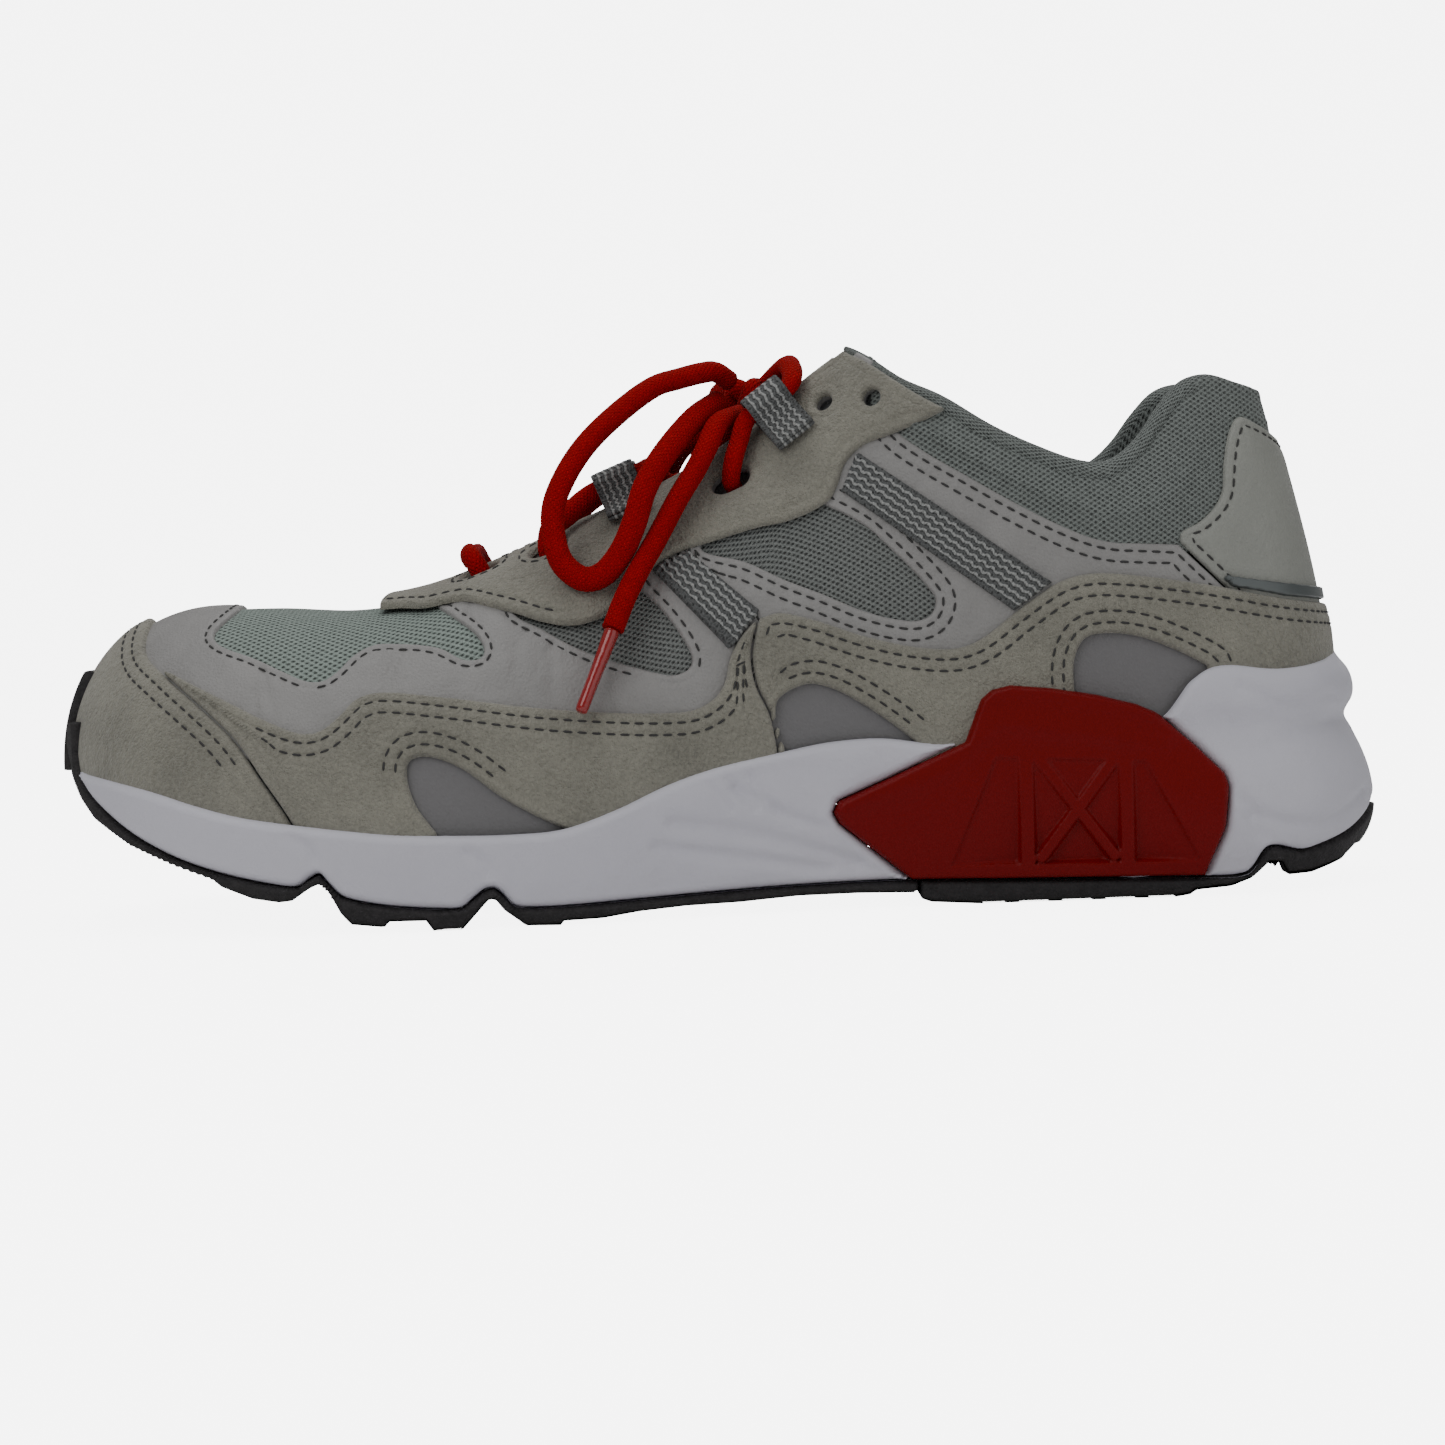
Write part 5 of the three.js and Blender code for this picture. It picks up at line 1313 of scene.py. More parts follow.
def upper_panels() -> list[Panel]:
    """Every panel of the upper, from the toe back."""
    base = BELOW_SOLE
    cap_rear = smooth(TOE_CAP_REAR)
    cap = loop(cap_rear, [(-90, base), (-170, base), (-170, 85), (-129, 85)])
    cap_room = loop(
        cap_rear + (GAP * 1.4, 0), [(-89.6, base), (-170, base), (-170, 85), (-128.6, 85)]
    )
    guard = loop(
        smooth(MUDGUARD_TOP), smooth(SIDE_SEAM)[1:], [(13.5, base), (-122, base), (-122, 57)]
    )
    windows = {
        "front": loop(smooth(FRONT_WINDOW[:10]), FRONT_WINDOW[10:]),
        "middle": loop(smooth(MIDDLE_WINDOW[:9]), MIDDLE_WINDOW[9:]),
        "rear": loop(smooth(REAR_WINDOW[:7]), REAR_WINDOW[7:]),
    }
    seam_back = smooth(SIDE_SEAM)[::-1] + (GAP * 1.4, 0)
    foxing = loop(smooth(FOXING_TOP), [(150, base), (13.9, base)], seam_back)
    facing = loop(
        smooth(EYESTAY_LOWER[1:]), smooth(FACING_BACK[:5]), [(26, 140), (-75.2, 140), (-75.2, 75)]
    )
    mesh_edge = loop(smooth(TOE_MESH_EDGE[1:-1]), [(-62, 80), (-85, 95), (-108, 80)])
    under_top = smooth(UNDERLAY_TOP)
    split_front = under_top[under_top[:, 0] <= 3.6]
    strap_seam = smooth(STRAP_SEAM)
    vamp = loop(
        [(-135, 90), (-135, 50), (-118, 42), (-100, 37), (-86, 38)],
        split_front + (0, GAP),
        strap_seam[::-1] - (GAP, 0),
        [(-14, 100), (-30, 120)],
    )
    rear_under = under_top[(under_top[:, 0] >= 12) & (under_top[:, 0] <= 92.2)]
    collar = smooth(COLLAR_SEAM)
    quarter = loop(
        strap_seam,
        rear_under + (0, GAP),
        [(113, 62), (114.4, 67), (103.6, 77.6)],
        collar[collar[:, 0] < 94][::-1],
        [(38, 126), (-12, 126)],
    )
    underlay = loop(under_top, [(113, base), (-75, base)])
    front_knit = smooth(FRONT_KNIT_WINDOW, closed=True)
    rear_knit = smooth(REAR_KNIT_WINDOW, closed=True)
    heel = loop([(104.1, 78), (114.8, 67.2), (118, 58), (150, 56)], smooth(COLLAR_SEAM_REAR)[::-1])
    mesh_body = loop(
        [(-114, 90), (-116, 62), (-100, 54), (-86, 49), (-74, 55), (-60, 55), (-50, 53.5)],
        [(-46, 58), (-50, 66), (-56, 74), (-56, 95)],
    )
    collar_body = loop(
        collar - (1, 5), [(108, 76), (118, 84), (121, 98), (150, 95), (150, 130), (37, 130)]
    )
    strip = loop(
        [(113.2, 70.4), (115.4, 68), (128, 65.3), (150, 62.6), (150, 65.4), (128, 68.2)],
    )
    knit_front_body = loop([(-48, 70), (-40, 60), (-27, 53), (-10, 48.6), (-2, 50), (-0.8, 58),
                            (-6, 68), (-13, 79), (-22, 90), (-38, 84)])
    knit_rear_body = loop([(-5, 82), (0, 74), (12, 69), (28, 62.5), (44, 58.6), (52, 62),
                           (53.6, 68), (46, 80), (34, 90), (22, 96), (0, 92)])
    slots = tuple((x, y, 4.6, 3.0) for x, y in HOLE_ROWS)
    eyelets = tuple((x, y, 2.0, 2.0) for x, y in SPARE_EYELETS)
    panels = [
        Panel("toe_cap_suede", Look.SUEDE, "suede", ("toe_cap",), cap, SUEDE, puff=0.5,
              rows=DOUBLE_ROW, sewn=lambda p: (p[:, 2] > 36)),
        Panel("eyestay_suede", Look.SUEDE, "suede", ("eyestay",), facing, SUEDE, puff=0.6,
              rows=(2.4,), holes=slots + eyelets,
              sewn=lambda p: (p[:, 0] < -33) & away_from_holes(p, slots + eyelets),
              relief=creases(3, 26, 9, 0.35)),
        Panel("foxing_suede", Look.SUEDE, "suede", ("foxing",), foxing, SUEDE, puff=0.6,
              windows=(windows["middle"], windows["rear"]), rows=DOUBLE_ROW,
              sewn=lambda p: (p[:, 2] > 40) & clear_of_seam(p, FOXING_TOP)),
        Panel("heel_strip_film", Look.STRIP, "reflective_strip", ("heel_strip",), strip,
              SUEDE, edge=0.4),
        Panel("vamp_leather_wing", Look.LEATHER, "smooth_leather", ("vamp_leather",), vamp, LEATHER,
              windows=(mesh_edge, front_knit), holes=slots, rows=(1.9,),
              puff=0.3, edge=0.6, relief=creases(5, 46, 13, 0.34), groove=0.15,
              sewn=lambda p: (p[:, 2] > 53) & away_from_holes(p, slots)),
        Panel("heel_panel_leather", Look.HEEL_LEATHER, "heel_leather", ("heel_panel",), heel,
              LEATHER, puff=0.7, rows=(2.0,), edge=0.6),
        Panel("toe_mesh_panel", Look.TOE_MESH, "toe_mesh", ("vamp_mesh",), mesh_body, TEXTILE,
              edge=0.4, puff=0.5),
        Panel("collar_mesh_pad", Look.COLLAR_MESH, "collar_mesh", ("collar_mesh",), collar_body,
              TEXTILE, edge=0.4, puff=COLLAR_PUFF, puff_width=COLLAR_PUFF_WIDTH, above=0.6,
              fill=0.8, relief=thin_at_back),
    ]
    for side, sign in (("medial", -1), ("lateral", 1)):
        panels += [
            Panel(f"mudguard_suede_{side}", Look.SUEDE, "suede", (f"mudguard_{side}",), guard,
                  SUEDE, windows=(cap_room, windows["front"]), sign=sign, rows=DOUBLE_ROW, puff=0.6,
                  sewn=lambda p: (p[:, 2] > 33) & clear_of_seam(p, MUDGUARD_TOP)
                  & (line_distance(cap_rear, p[:, 0], p[:, 2]) > CAP_CLEAR)),
            Panel(f"quarter_leather_{side}", Look.LEATHER, "smooth_leather", (f"quarter_{side}",),
                  quarter, LEATHER, windows=(rear_knit,), sign=sign, rows=(1.9, 4.4), puff=0.3,
                  holes=slots + eyelets, edge=0.6, groove=0.15,
                  relief=creases(7, 16, 10, 0.2)),
            Panel(f"underlay_smooth_{side}", Look.UNDERLAY, "underlay_leather",
                  (f"underlay_{side}",), underlay, LEATHER, sign=sign, edge=0.6),
            Panel(f"knit_panel_front_{side}", Look.KNIT, "collar_mesh", (f"knit_front_{side}",),
                  knit_front_body, TEXTILE, sign=sign, edge=0.4, puff=0.4, holes=slots),
            Panel(f"knit_panel_rear_{side}", Look.KNIT, "collar_mesh", (f"knit_rear_{side}",),
                  knit_rear_body, TEXTILE, sign=sign, edge=0.4, puff=0.8, puff_width=12.0,
                  holes=slots),
        ]
    return panels


def thin_at_back(points: Vec, distance: Vec) -> Vec:
    """The relief that thins the collar's padding at the back of the heel."""
    swell = np.sin(np.clip(distance / COLLAR_PUFF_WIDTH, 0, 1) * math.pi / 2)
    back = ease(*HEEL_BACK_X, points[:, 0]) * ease(*HEEL_BACK_Z, points[:, 2])
    return -COLLAR_THINNING * back * swell


def clear_of_seam(points: Vec, top: Points) -> Vec:
    """Says which places follow a panel's top edge and not the butted seam of the two suedes."""
    x, z = points[:, 0], points[:, 2]
    seam = line_distance(smooth(SIDE_SEAM), x, z)
    along_top = line_distance(smooth(top), x, z) < SEAM_TOP_REACH
    return (seam > SEAM_CLEAR) | ((seam > SEAM_EDGE) & along_top)


def away_from_holes(points: Vec, holes: Iterable[tuple[float, float, float, float]]) -> Vec:
    """Says which places are far enough from the lace holes for the edge row of stitches."""
    far = np.ones(len(points), bool)
    for x, y, half_length, half_width in holes:
        for side in (-1, 1):
            centre, normal = on_last(x, side * y)
            gap = np.linalg.norm(points - (centre + normal * SUEDE[1]), axis=1)
            far &= gap > half_length + 1.2 if half_length <= half_width else gap > 0
    return far


class Upper:
    """Everything sewn over the last."""

    def __init__(self, finishes: Finishes) -> None:
        """Keeps the finishes and starts the thread."""
        self.finishes = finishes
        self.thread = Thread("stitching_dark")

    def build(self) -> None:
        """Builds the panels, straps, collar, linings and stitches."""
        for panel in upper_panels():
            panel.build(self.finishes, self.thread)
        self.straps()
        self.collar_roll()
        self.linings()
        put(self.thread.make(), self.finishes[Look.DARK_THREAD])

    def straps(self) -> None:
        """The ribbed webbing straps of the quarters."""
        covers = [
            loop(smooth(MUDGUARD_TOP) + (0, GAP), [(14, 0), (-120, 0)]),
            loop(smooth(FOXING_TOP) + (0, GAP), [(150, 0), (9, 0)]),
            loop(smooth(EYESTAY_LOWER[1:]) + (GAP, -GAP), [(52, 140), (-75, 140)]),
        ]
        for place, corners in (("front", FRONT_STRAP_CORNERS), ("rear", REAR_STRAP_CORNERS)):
            quad = np.asarray(corners, float)
            low = (quad[0] + quad[1]) / 2
            high = (quad[2] + quad[3]) / 2
            run = unit(high - low)
            for side, sign in (("medial", -1), ("lateral", 1)):
                value = side_field(quad, SUEDE[0], sign)
                for cover in covers:
                    value = np.minimum(value, -side_field(cover, SUEDE[0]))
                cut = cut_out(LAST, LAST.true_distance(value), levels=(0.1, 0.3, 0.6))
                flat = cut.points[:, [0, 2]] - (low + high) / 2
                along = flat @ run
                across = flat @ np.array([-run[1], run[0]])
                cut.data[:, 6] = along
                cut.data[:, 7] = across
                ribs = 0.16 * np.cos(across * 2 * math.pi / RIB_PITCH)
                heights = SUEDE[0] + rolled(LOOP_WALL, 0.5)(cut.distance) + ribs
                made = shell(f"strap_webbing_{place}_{side}", cut, heights)
                put(made, self.finishes[Look.WEBBING], (f"strap_{place}_{side}",))

    def collar_roll(self) -> None:
        """The padded edge round the ankle opening, from the facing round the heel."""
        value = side_field(UNDER_TOPLINE, 0.0)
        halves = (("medial", range(AROUND // 2)), ("lateral", range(AROUND, AROUND // 2, -1)))
        for side, rows in halves:
            base, out, up = [], [], []
            for i in rows:
                inside = np.nonzero(value[i] > 0)[0]
                if not len(inside) or inside[-1] >= UP:
                    continue
                j = int(inside[-1])
                share = value[i, j] / max(value[i, j] - value[i, j + 1], 1e-6)
                p = LAST.points[i, j] * (1 - share) + LAST.points[i, j + 1] * share
                if p[0] < 33:
                    break
                base.append(p)
                out.append(LAST.normals[i, j])
                up.append(unit(LAST.points[i, j + 1] - LAST.points[i, j - 1]))
            self._roll(f"collar_roll_{side}", np.array(base), np.array(out), np.array(up))

    def _roll(self, name: str, base: Vec, out: Vec, up: Vec) -> None:
        """Sweeps the rolled edge along its line."""
        keep = np.arange(0, len(base), 2)
        base, out, up = base[keep], out[keep], up[keep]
        taper = ease(34, 62, base[:, 0])
        outer = 2.2 - 1.1 * ease(*HEEL_BACK_X, base[:, 0])
        inner = -6.6 * (0.42 + 0.58 * taper)
        rise = 3.2 * (0.6 + 0.4 * taper)
        turn = np.linspace(-0.5, math.pi + 0.7, 18)
        middle, half = (outer + inner) / 2, (outer - inner) / 2
        side = middle[:, None] + half[:, None] * np.cos(turn)[None, :]
        high = rise[:, None] * np.sin(turn)[None, :] - 1.2
        down = np.where(turn > math.pi, (turn - math.pi) * 9.0, 0.0)[None, :]
        rise_by = (high - down)[..., None]
        rings = base[:, None] + out[:, None] * side[..., None] + up[:, None] * rise_by
        length = np.concatenate([[0], np.cumsum(np.linalg.norm(np.diff(base, axis=0), axis=1))])
        uv = np.stack(np.broadcast_arrays(length[:, None], (turn * 4.5)[None, :]), -1)
        uv = uv.reshape(-1, 2)
        count, wide = rings.shape[:2]
        i, j = np.meshgrid(np.arange(count - 1), np.arange(wide - 1), indexing="ij")
        a = (i * wide + j).ravel()
        faces = np.column_stack([a, a + wide, a + wide + 1, a + 1])
        made = new_object(name, rings.reshape(-1, 3), faces, uv)
        recalculate(made)
        put(made, self.finishes[Look.COLLAR_MESH])

    def linings(self) -> None:
        """The inside of the shoe: lining, footbed and the heel's padding."""
        at = LAST.points
        height_value = side_field(UNDER_TOPLINE, 0.0)
        front = np.minimum(np.minimum(48 - at[..., 0], height_value), -plan_field(THROAT, 0.0))
        cut = cut_out(LAST, front)
        made = shell("lining_vamp", cut, np.full(len(cut.distance), LINING[1]))
        put(made, self.finishes[Look.LINING], ("vamp_lining", "toe_puff"))
        depth = np.full(len(cut.distance), LINING[0])
        inside = shell("lining_vamp_inside", cut, depth, inward=True)
        put(inside, self.finishes[Look.LINING])
        rear = np.minimum(at[..., 0] - 44, height_value)
        cut = cut_out(LAST, rear)
        depth = -3.3 - 3.0 * ease(48, 66, cut.points[:, 2])
        inside = shell("lining_heel_inside", cut, depth, inward=True)
        put(inside, self.finishes[Look.LINING],
            ("heel_lining", "heel_counter", "collar_foam"))
        self.footbed()

    def footbed(self) -> None:
        """The removable footbed, dished at the heel."""
        x = np.linspace(-142, 136, 240)
        foot = rib_at(np.linspace(0, 1, 721)[:-1])[:, :2]
        ring = foot * 0.94
        y = np.linspace(-50, 50, 90)
        gx, gy = np.meshgrid(x, y, indexing="ij")
        gz = height_along(FEATHER_LINE, gx) + 6.3 + 0.0018 * gy**2
        points = np.stack([gx, gy, gz], -1)
        chart = flat_chart(points, 1.0)
        value = signed_distance(ring, gx, gy)
        cut = cut_out(chart, value, levels=(0.4, 1.2, 2.4))
        heights = rolled(2.0, 2.4)(cut.distance) - 2.0
        made = shell("footbed", cut, heights)
        recalculate(made, upward=True)
        put(made, self.finishes[Look.LINING], ("sockliner", "insole_board"))


# ------------------------------------------------------------ the sole
def make_wall() -> Chart:
    """The fine grid over the sole's side wall: round the shoe, and up."""
    around = np.linspace(0, 1, WALL_AROUND)
    ribs = rib_at(around)[:, :2]
    ahead = rib_at(around + 0.2 / 36)[:, :2] - rib_at(around - 0.2 / 36)[:, :2]
    ahead = unit(ahead)
    outward = np.column_stack([-ahead[:, 1], ahead[:, 0]])
    z = np.arange(-1.0, 60.0, WALL_STEP)
    flare = ease(*HEEL_FLARE, ribs[:, 0])[:, None]
    front, heel = height_along(FRONT_WALL, z)[None], height_along(HEEL_WALL, z)[None]
    offset = front * (1 - flare) + heel * flare
    flat = ribs[:, None] + outward[:, None] * offset[..., None]
    points = np.concatenate([flat, np.broadcast_to(z[None, :, None], (*offset.shape, 1))], -1)
    normals = grid_normals(points)
    length = np.concatenate([[0], np.cumsum(np.linalg.norm(np.diff(ribs, axis=0), axis=1))])
    uv = np.stack(np.broadcast_arrays(length[:, None], z[None, :]), -1)
    return Chart(points, normals, uv)


class Sole:
    """The midsole, its clip and the rubber under it."""

    def __init__(self, finishes: Finishes) -> None:
        """Works out the wall and the outlines."""
        self.finishes = finishes
        self.wall = make_wall()
        self.x = self.wall.points[..., 0]
        self.z = self.wall.points[..., 2]
        bottom = np.asarray(MIDSOLE_BOTTOM, float)
        top = np.asarray(MIDSOLE_TOP, float)
        self.midsole = loop(smooth(bottom, 4), [(156, 22)], smooth(top, 5)[::-1])
        self.clip_outline = np.asarray(CLIP_OUTLINE_POINTS, float)
        under = bottom[bottom[:, 0] < 33.5][::-1] - (0, GAP)
        self.tread_front = np.array([
            *TREAD_FOREFOOT, (-108.6, 10.6), (-101.6, 8), (-95.7, 7.1), (-92.8, 7.4), (-88.9, 10),
            (-86.6, 11), (-84.9, 9.6), (-82.2, 4.4), (-80, 2), (-72.8, 1.2), (-72, 2.4),
            (-63.7, 2.3), (-62.5, 0), (-56.2, 0), (-53, 3.4), (-50.4, 6.2), (-49, 6.4),
            (-47, 3.8), (-43.6, 1.2), (-42.6, 0.3), (-35, 0), (-34.3, 0.9), (-26, 1), (-18, 2),
            (-8, 2.6), (4, 2.7), (17, 3.4), (30, 3.4), (43.3, 3),
        ])
        self.front = loop([(-152, 46), (-148.4, 39.1), (-147.2, 36)], self.tread_front,
                          [(43.3, 5.5), (17, 5.3)], under, [(-146, 39), (-146, 46)])
        self.tread_heel = np.array([
            (43.8, 1.7), (46, 0.8), (57, 0), (100, 0), (103.4, 0.5), (104.4, 1.4), (112.4, 2),
            (117, 3.6), (119, 5.2), (121, 6.9), (124, 6.6), (125.4, 3.8), (131, 3.9), (139.5, 6),
            (142.6, 8.4), (144.4, 8.6), (147, 11), (149.6, 14.6), (150.6, 17),
        ])
        rear = bottom[bottom[:, 0] > 43.5][::-1] - (0, GAP)
        self.heel = loop(self.tread_heel, rear, [(43.8, 5.5)])

    def build(self) -> None:
        """Builds every piece of the sole."""
        self.midsole_piece()
        self.clip()
        self.rubber()

    def on_wall(self, outline: Vec) -> Vec:
        """A side-view outline as true distance along the wall."""
        return self.wall.true_distance(signed_distance(outline, self.x, self.z))

    def midsole_piece(self) -> None:
        """The foam, with its channels and waves."""
        room = -signed_distance(self.clip_outline, self.x, self.z) - GAP
        foam = signed_distance(self.midsole, self.x, self.z)
        value = self.wall.true_distance(np.minimum(foam, room))
        cut = cut_out(self.wall, value, levels=(0.15, 0.5, 1.1, 2.0))
        p = cut.points
        relief = self.foam_relief(p)
        heights = rolled(2.4, 2.0)(cut.distance) - 2.4 + relief * ease(0.5, 4, cut.distance)
        made = shell("midsole_foam", cut, heights)
        join = self.underside("midsole", smooth(MIDSOLE_BOTTOM, 4), (-144, 148), -2.0, 0.0)
        merge(made, join)
        put(made, self.finishes[Look.FOAM], ("midsole",))

    def foam_relief(self, p: Vec) -> Vec:
        """Channels, ridges and soft wrinkles of the foam wall."""
        x, z = p[:, 0], p[:, 2]
        total = np.zeros(len(p))
        channels = (
            ([(-14, 16), (6, 12.5), (24, 9)], 0.9, 1.3),
            ([(-10, 21), (4, 18.5), (19, 14), (30, 10)], 1.0, 1.6),
            ([(4, 28), (16, 21), (27, 17.5)], 0.8, 1.2),
            ([(-3, 30), (3, 23.5)], 0.5, 0.9),
            ([(2, 30.5), (8, 23)], 0.5, 0.9),
            ([(7, 30.5), (13, 22.5)], 0.5, 0.9),
            ([(113.5, 22), (120, 17), (133, 15), (146, 21)], 0.9, 1.6),
            ([(110, 40), (120, 33), (134, 37), (146, 38)], 0.4, 2.0),
            ([(116, 46), (126, 41), (138, 43)], 0.7, 1.5),
            ([(-86.5, 13), (-88, 18), (-92, 22)], 0.9, 1.6),
            ([(-49.5, 9), (-50.5, 13.5), (-54, 17)], 0.8, 1.5),
            ([(121.5, 10), (117, 17)], 0.8, 1.6),
        )
        for line, depth, width in channels:
            total -= depth * np.exp(-((line_distance(smooth(line), x, z) / width) ** 2))
        total += 0.5 * np.sin(x / 7.5 + z / 9.0) * ease(-30, 10, x) * (1 - ease(30, 40, x))
        return total

    def clip(self) -> None:
        """The stabiliser clip with its moulded truss."""
        value = self.on_wall(self.clip_outline) + 0.2
        rails = (
            ([(61, 33.6), (95, 31.6)], 1.0),
            ([(67.5, 33.2), (67.5, 8.5)], 1.25), ([(89.5, 31.4), (89.5, 8)], 1.25),
            ([(70.5, 31.5), (86.5, 10)], 0.9), ([(70.5, 10), (86.5, 30.5)], 0.9),
        )
        recess = loop([(61, 33), (93.5, 31.5), (106, 8), (50, 8.6)])
        pocket = signed_distance(recess, self.x, self.z)
        ribs = np.full(self.x.shape, np.inf)
        for line, width in rails:
            ribs = np.minimum(ribs, line_distance(line, self.x, self.z) - width)
        deep = np.minimum(pocket, ribs)
        cut = cut_out(self.wall, value, extras=(deep,), levels=(0.15, 0.5, 1.1))
        for level in (0.0, 0.45, 1.0):
            cut = split(cut, level, column=CLIP_EXTRA)
        sink = cut.data[:, CLIP_EXTRA]
        x, z = cut.points[:, 0], cut.points[:, 2]
        low = 1 - np.clip((z - 8) / 24, 0, 1)
        depth = ease(0.0, 0.9, sink) * (0.5 + 1.5 * low * ease(50, 66, x) * (1 - ease(94, 106, x)))
        crest = line_distance([(26, 22), (50, 30), (62, 40), (98, 34)], x, z)
        crown = 0.35 * np.exp(-((crest / 2.5) ** 2))
        heights = rolled(3.6, 1.2)(cut.distance) - 2.4 - depth + crown
        made = shell("clip_moulding", cut, heights)
        bar = self.underside("clip_bridge", np.array([(60, 6.4), (100, 6.4)]), (61, 98), -1.0, 0.0)
        merge(made, bar)
        put(made, self.finishes[Look.CLIP], ("stabiliser_clip",))

    def underside(
        self, name: str, line: Vec, span: tuple[float, float], inset: float, groove: float
    ) -> bpy.types.Object:
        """A downward face following a line along the shoe, out to the wall.

        Args:
            name: The piece's name.
            line: Its height along the shoe.
            span: Where it starts and ends.
            inset: Offset of its rim from the wall.
            groove: Depth of the tread's grooves.

        Returns:
            The face as an object.
        """
        x = np.arange(span[0], span[1] + 0.01, 0.8)
        y = np.arange(-64, 64, 0.8)
        gx, gy = np.meshgrid(x, y, indexing="ij")
        order = np.argsort(line[:, 0], kind="stable")
        gz = np.interp(gx, line[order, 0], line[order, 1])
        level = np.argmin(np.abs(self.wall.points[0, :, 2] - TREAD_RING_Z))
        ring = self.wall.points[:-1, level, :2] + self.wall.normals[:-1, level, :2] * inset
        ends = np.minimum(gx - span[0], span[1] - gx) + 0.4
        value = np.minimum(signed_distance(ring, gx, gy), ends)
        points = np.stack([gx, gy, gz], -1)
        chart = flat_chart(points, -1.0)
        cut = cut_out(chart, value, levels=(0.6, 1.4))
        heights = np.zeros(len(cut.distance))
        if groove:
            px, py = cut.points[:, 0], cut.points[:, 1]
            bend = px + 0.004 * py**2 + 2.2 * np.abs(((py / 17) % 2) - 1)
            lines = np.abs(((bend / 9.5) % 1) - 0.5) * 9.5
            aisle = np.abs(np.abs(py) - 15)
            cutaway = np.maximum(1 - ease(0.5, 1.3, lines), 1 - ease(0.8, 1.7, aisle))
            heights = -groove * cutaway * ease(0.5, 2.5, cut.distance)
        made = shell(name, cut, heights)
        if net_rise(made) > 0:
            edit(made, bpy.ops.mesh.flip_normals)
        return made

    def rubber(self) -> None:
        """Forefoot and heel rubber, with the toe bumper."""
        for name, node, outline, tread, span in (
            ("outsole_front_rubber", "outsole_forefoot", self.front, self.tread_front,
             (-145.5, 43.0)),
            ("outsole_heel_rubber", "outsole_heel", self.heel, self.tread_heel, (44.0, 149)),
        ):
            value = self.on_wall(outline)
            cut = cut_out(self.wall, value, levels=(0.12, 0.4, 0.8))
            heights = rolled(2.2, 0.9)(cut.distance) - 2.0
            made = shell(name, cut, heights)
            merge(made, self.underside(node + "_tread", tread, span, -1.7, 1.5))
            if node == "outsole_forefoot":
                merge(made, self.bumper())
            put(made, self.finishes[Look.RUBBER], (node,))

    def bumper(self) -> bpy.types.Object:
        """The rubber tongue that turns up over the toe."""
        at = LAST.at(BUMPER[0])
        plan = signed_distance(np.asarray(BUMPER_PLAN, float), at[..., 0], at[..., 1])
        front = loop([(-170, 24), (-120, 24), (-136, 57), (-170, 57)])
        side = signed_distance(front, at[..., 0], at[..., 2])
        cut = cut_out(LAST, LAST.true_distance(np.minimum(plan, side)), levels=(0.15, 0.5, 1.0))
        return shell("toe_bumper", cut, BUMPER[0] - 0.6 + rolled(2.6, 1.2)(cut.distance))


# ------------------------------------------------------------ laces, loops and tongue
def loop_frame(row: tuple[float, float], sign: int) -> tuple[Vec, Vec, Vec, Vec]:
    """A webbing loop's centre and axes: towards its tab, out of the surface, along the lace."""
    x, y = row
    point, normal = on_last(x, sign * y)
    centre = point + normal * (LACE_SEAT + LOOP_BORE + LOOP_WALL + GAP)
    rise = unit(over(x + 6, sign * y, 0) - over(x - 6, sign * y, 0))
    tab = unit(np.cross(rise, normal) * sign)
    if tab[1] * sign < 0:
        tab = -tab
    return centre, tab, normal, unit(np.cross(tab, normal))


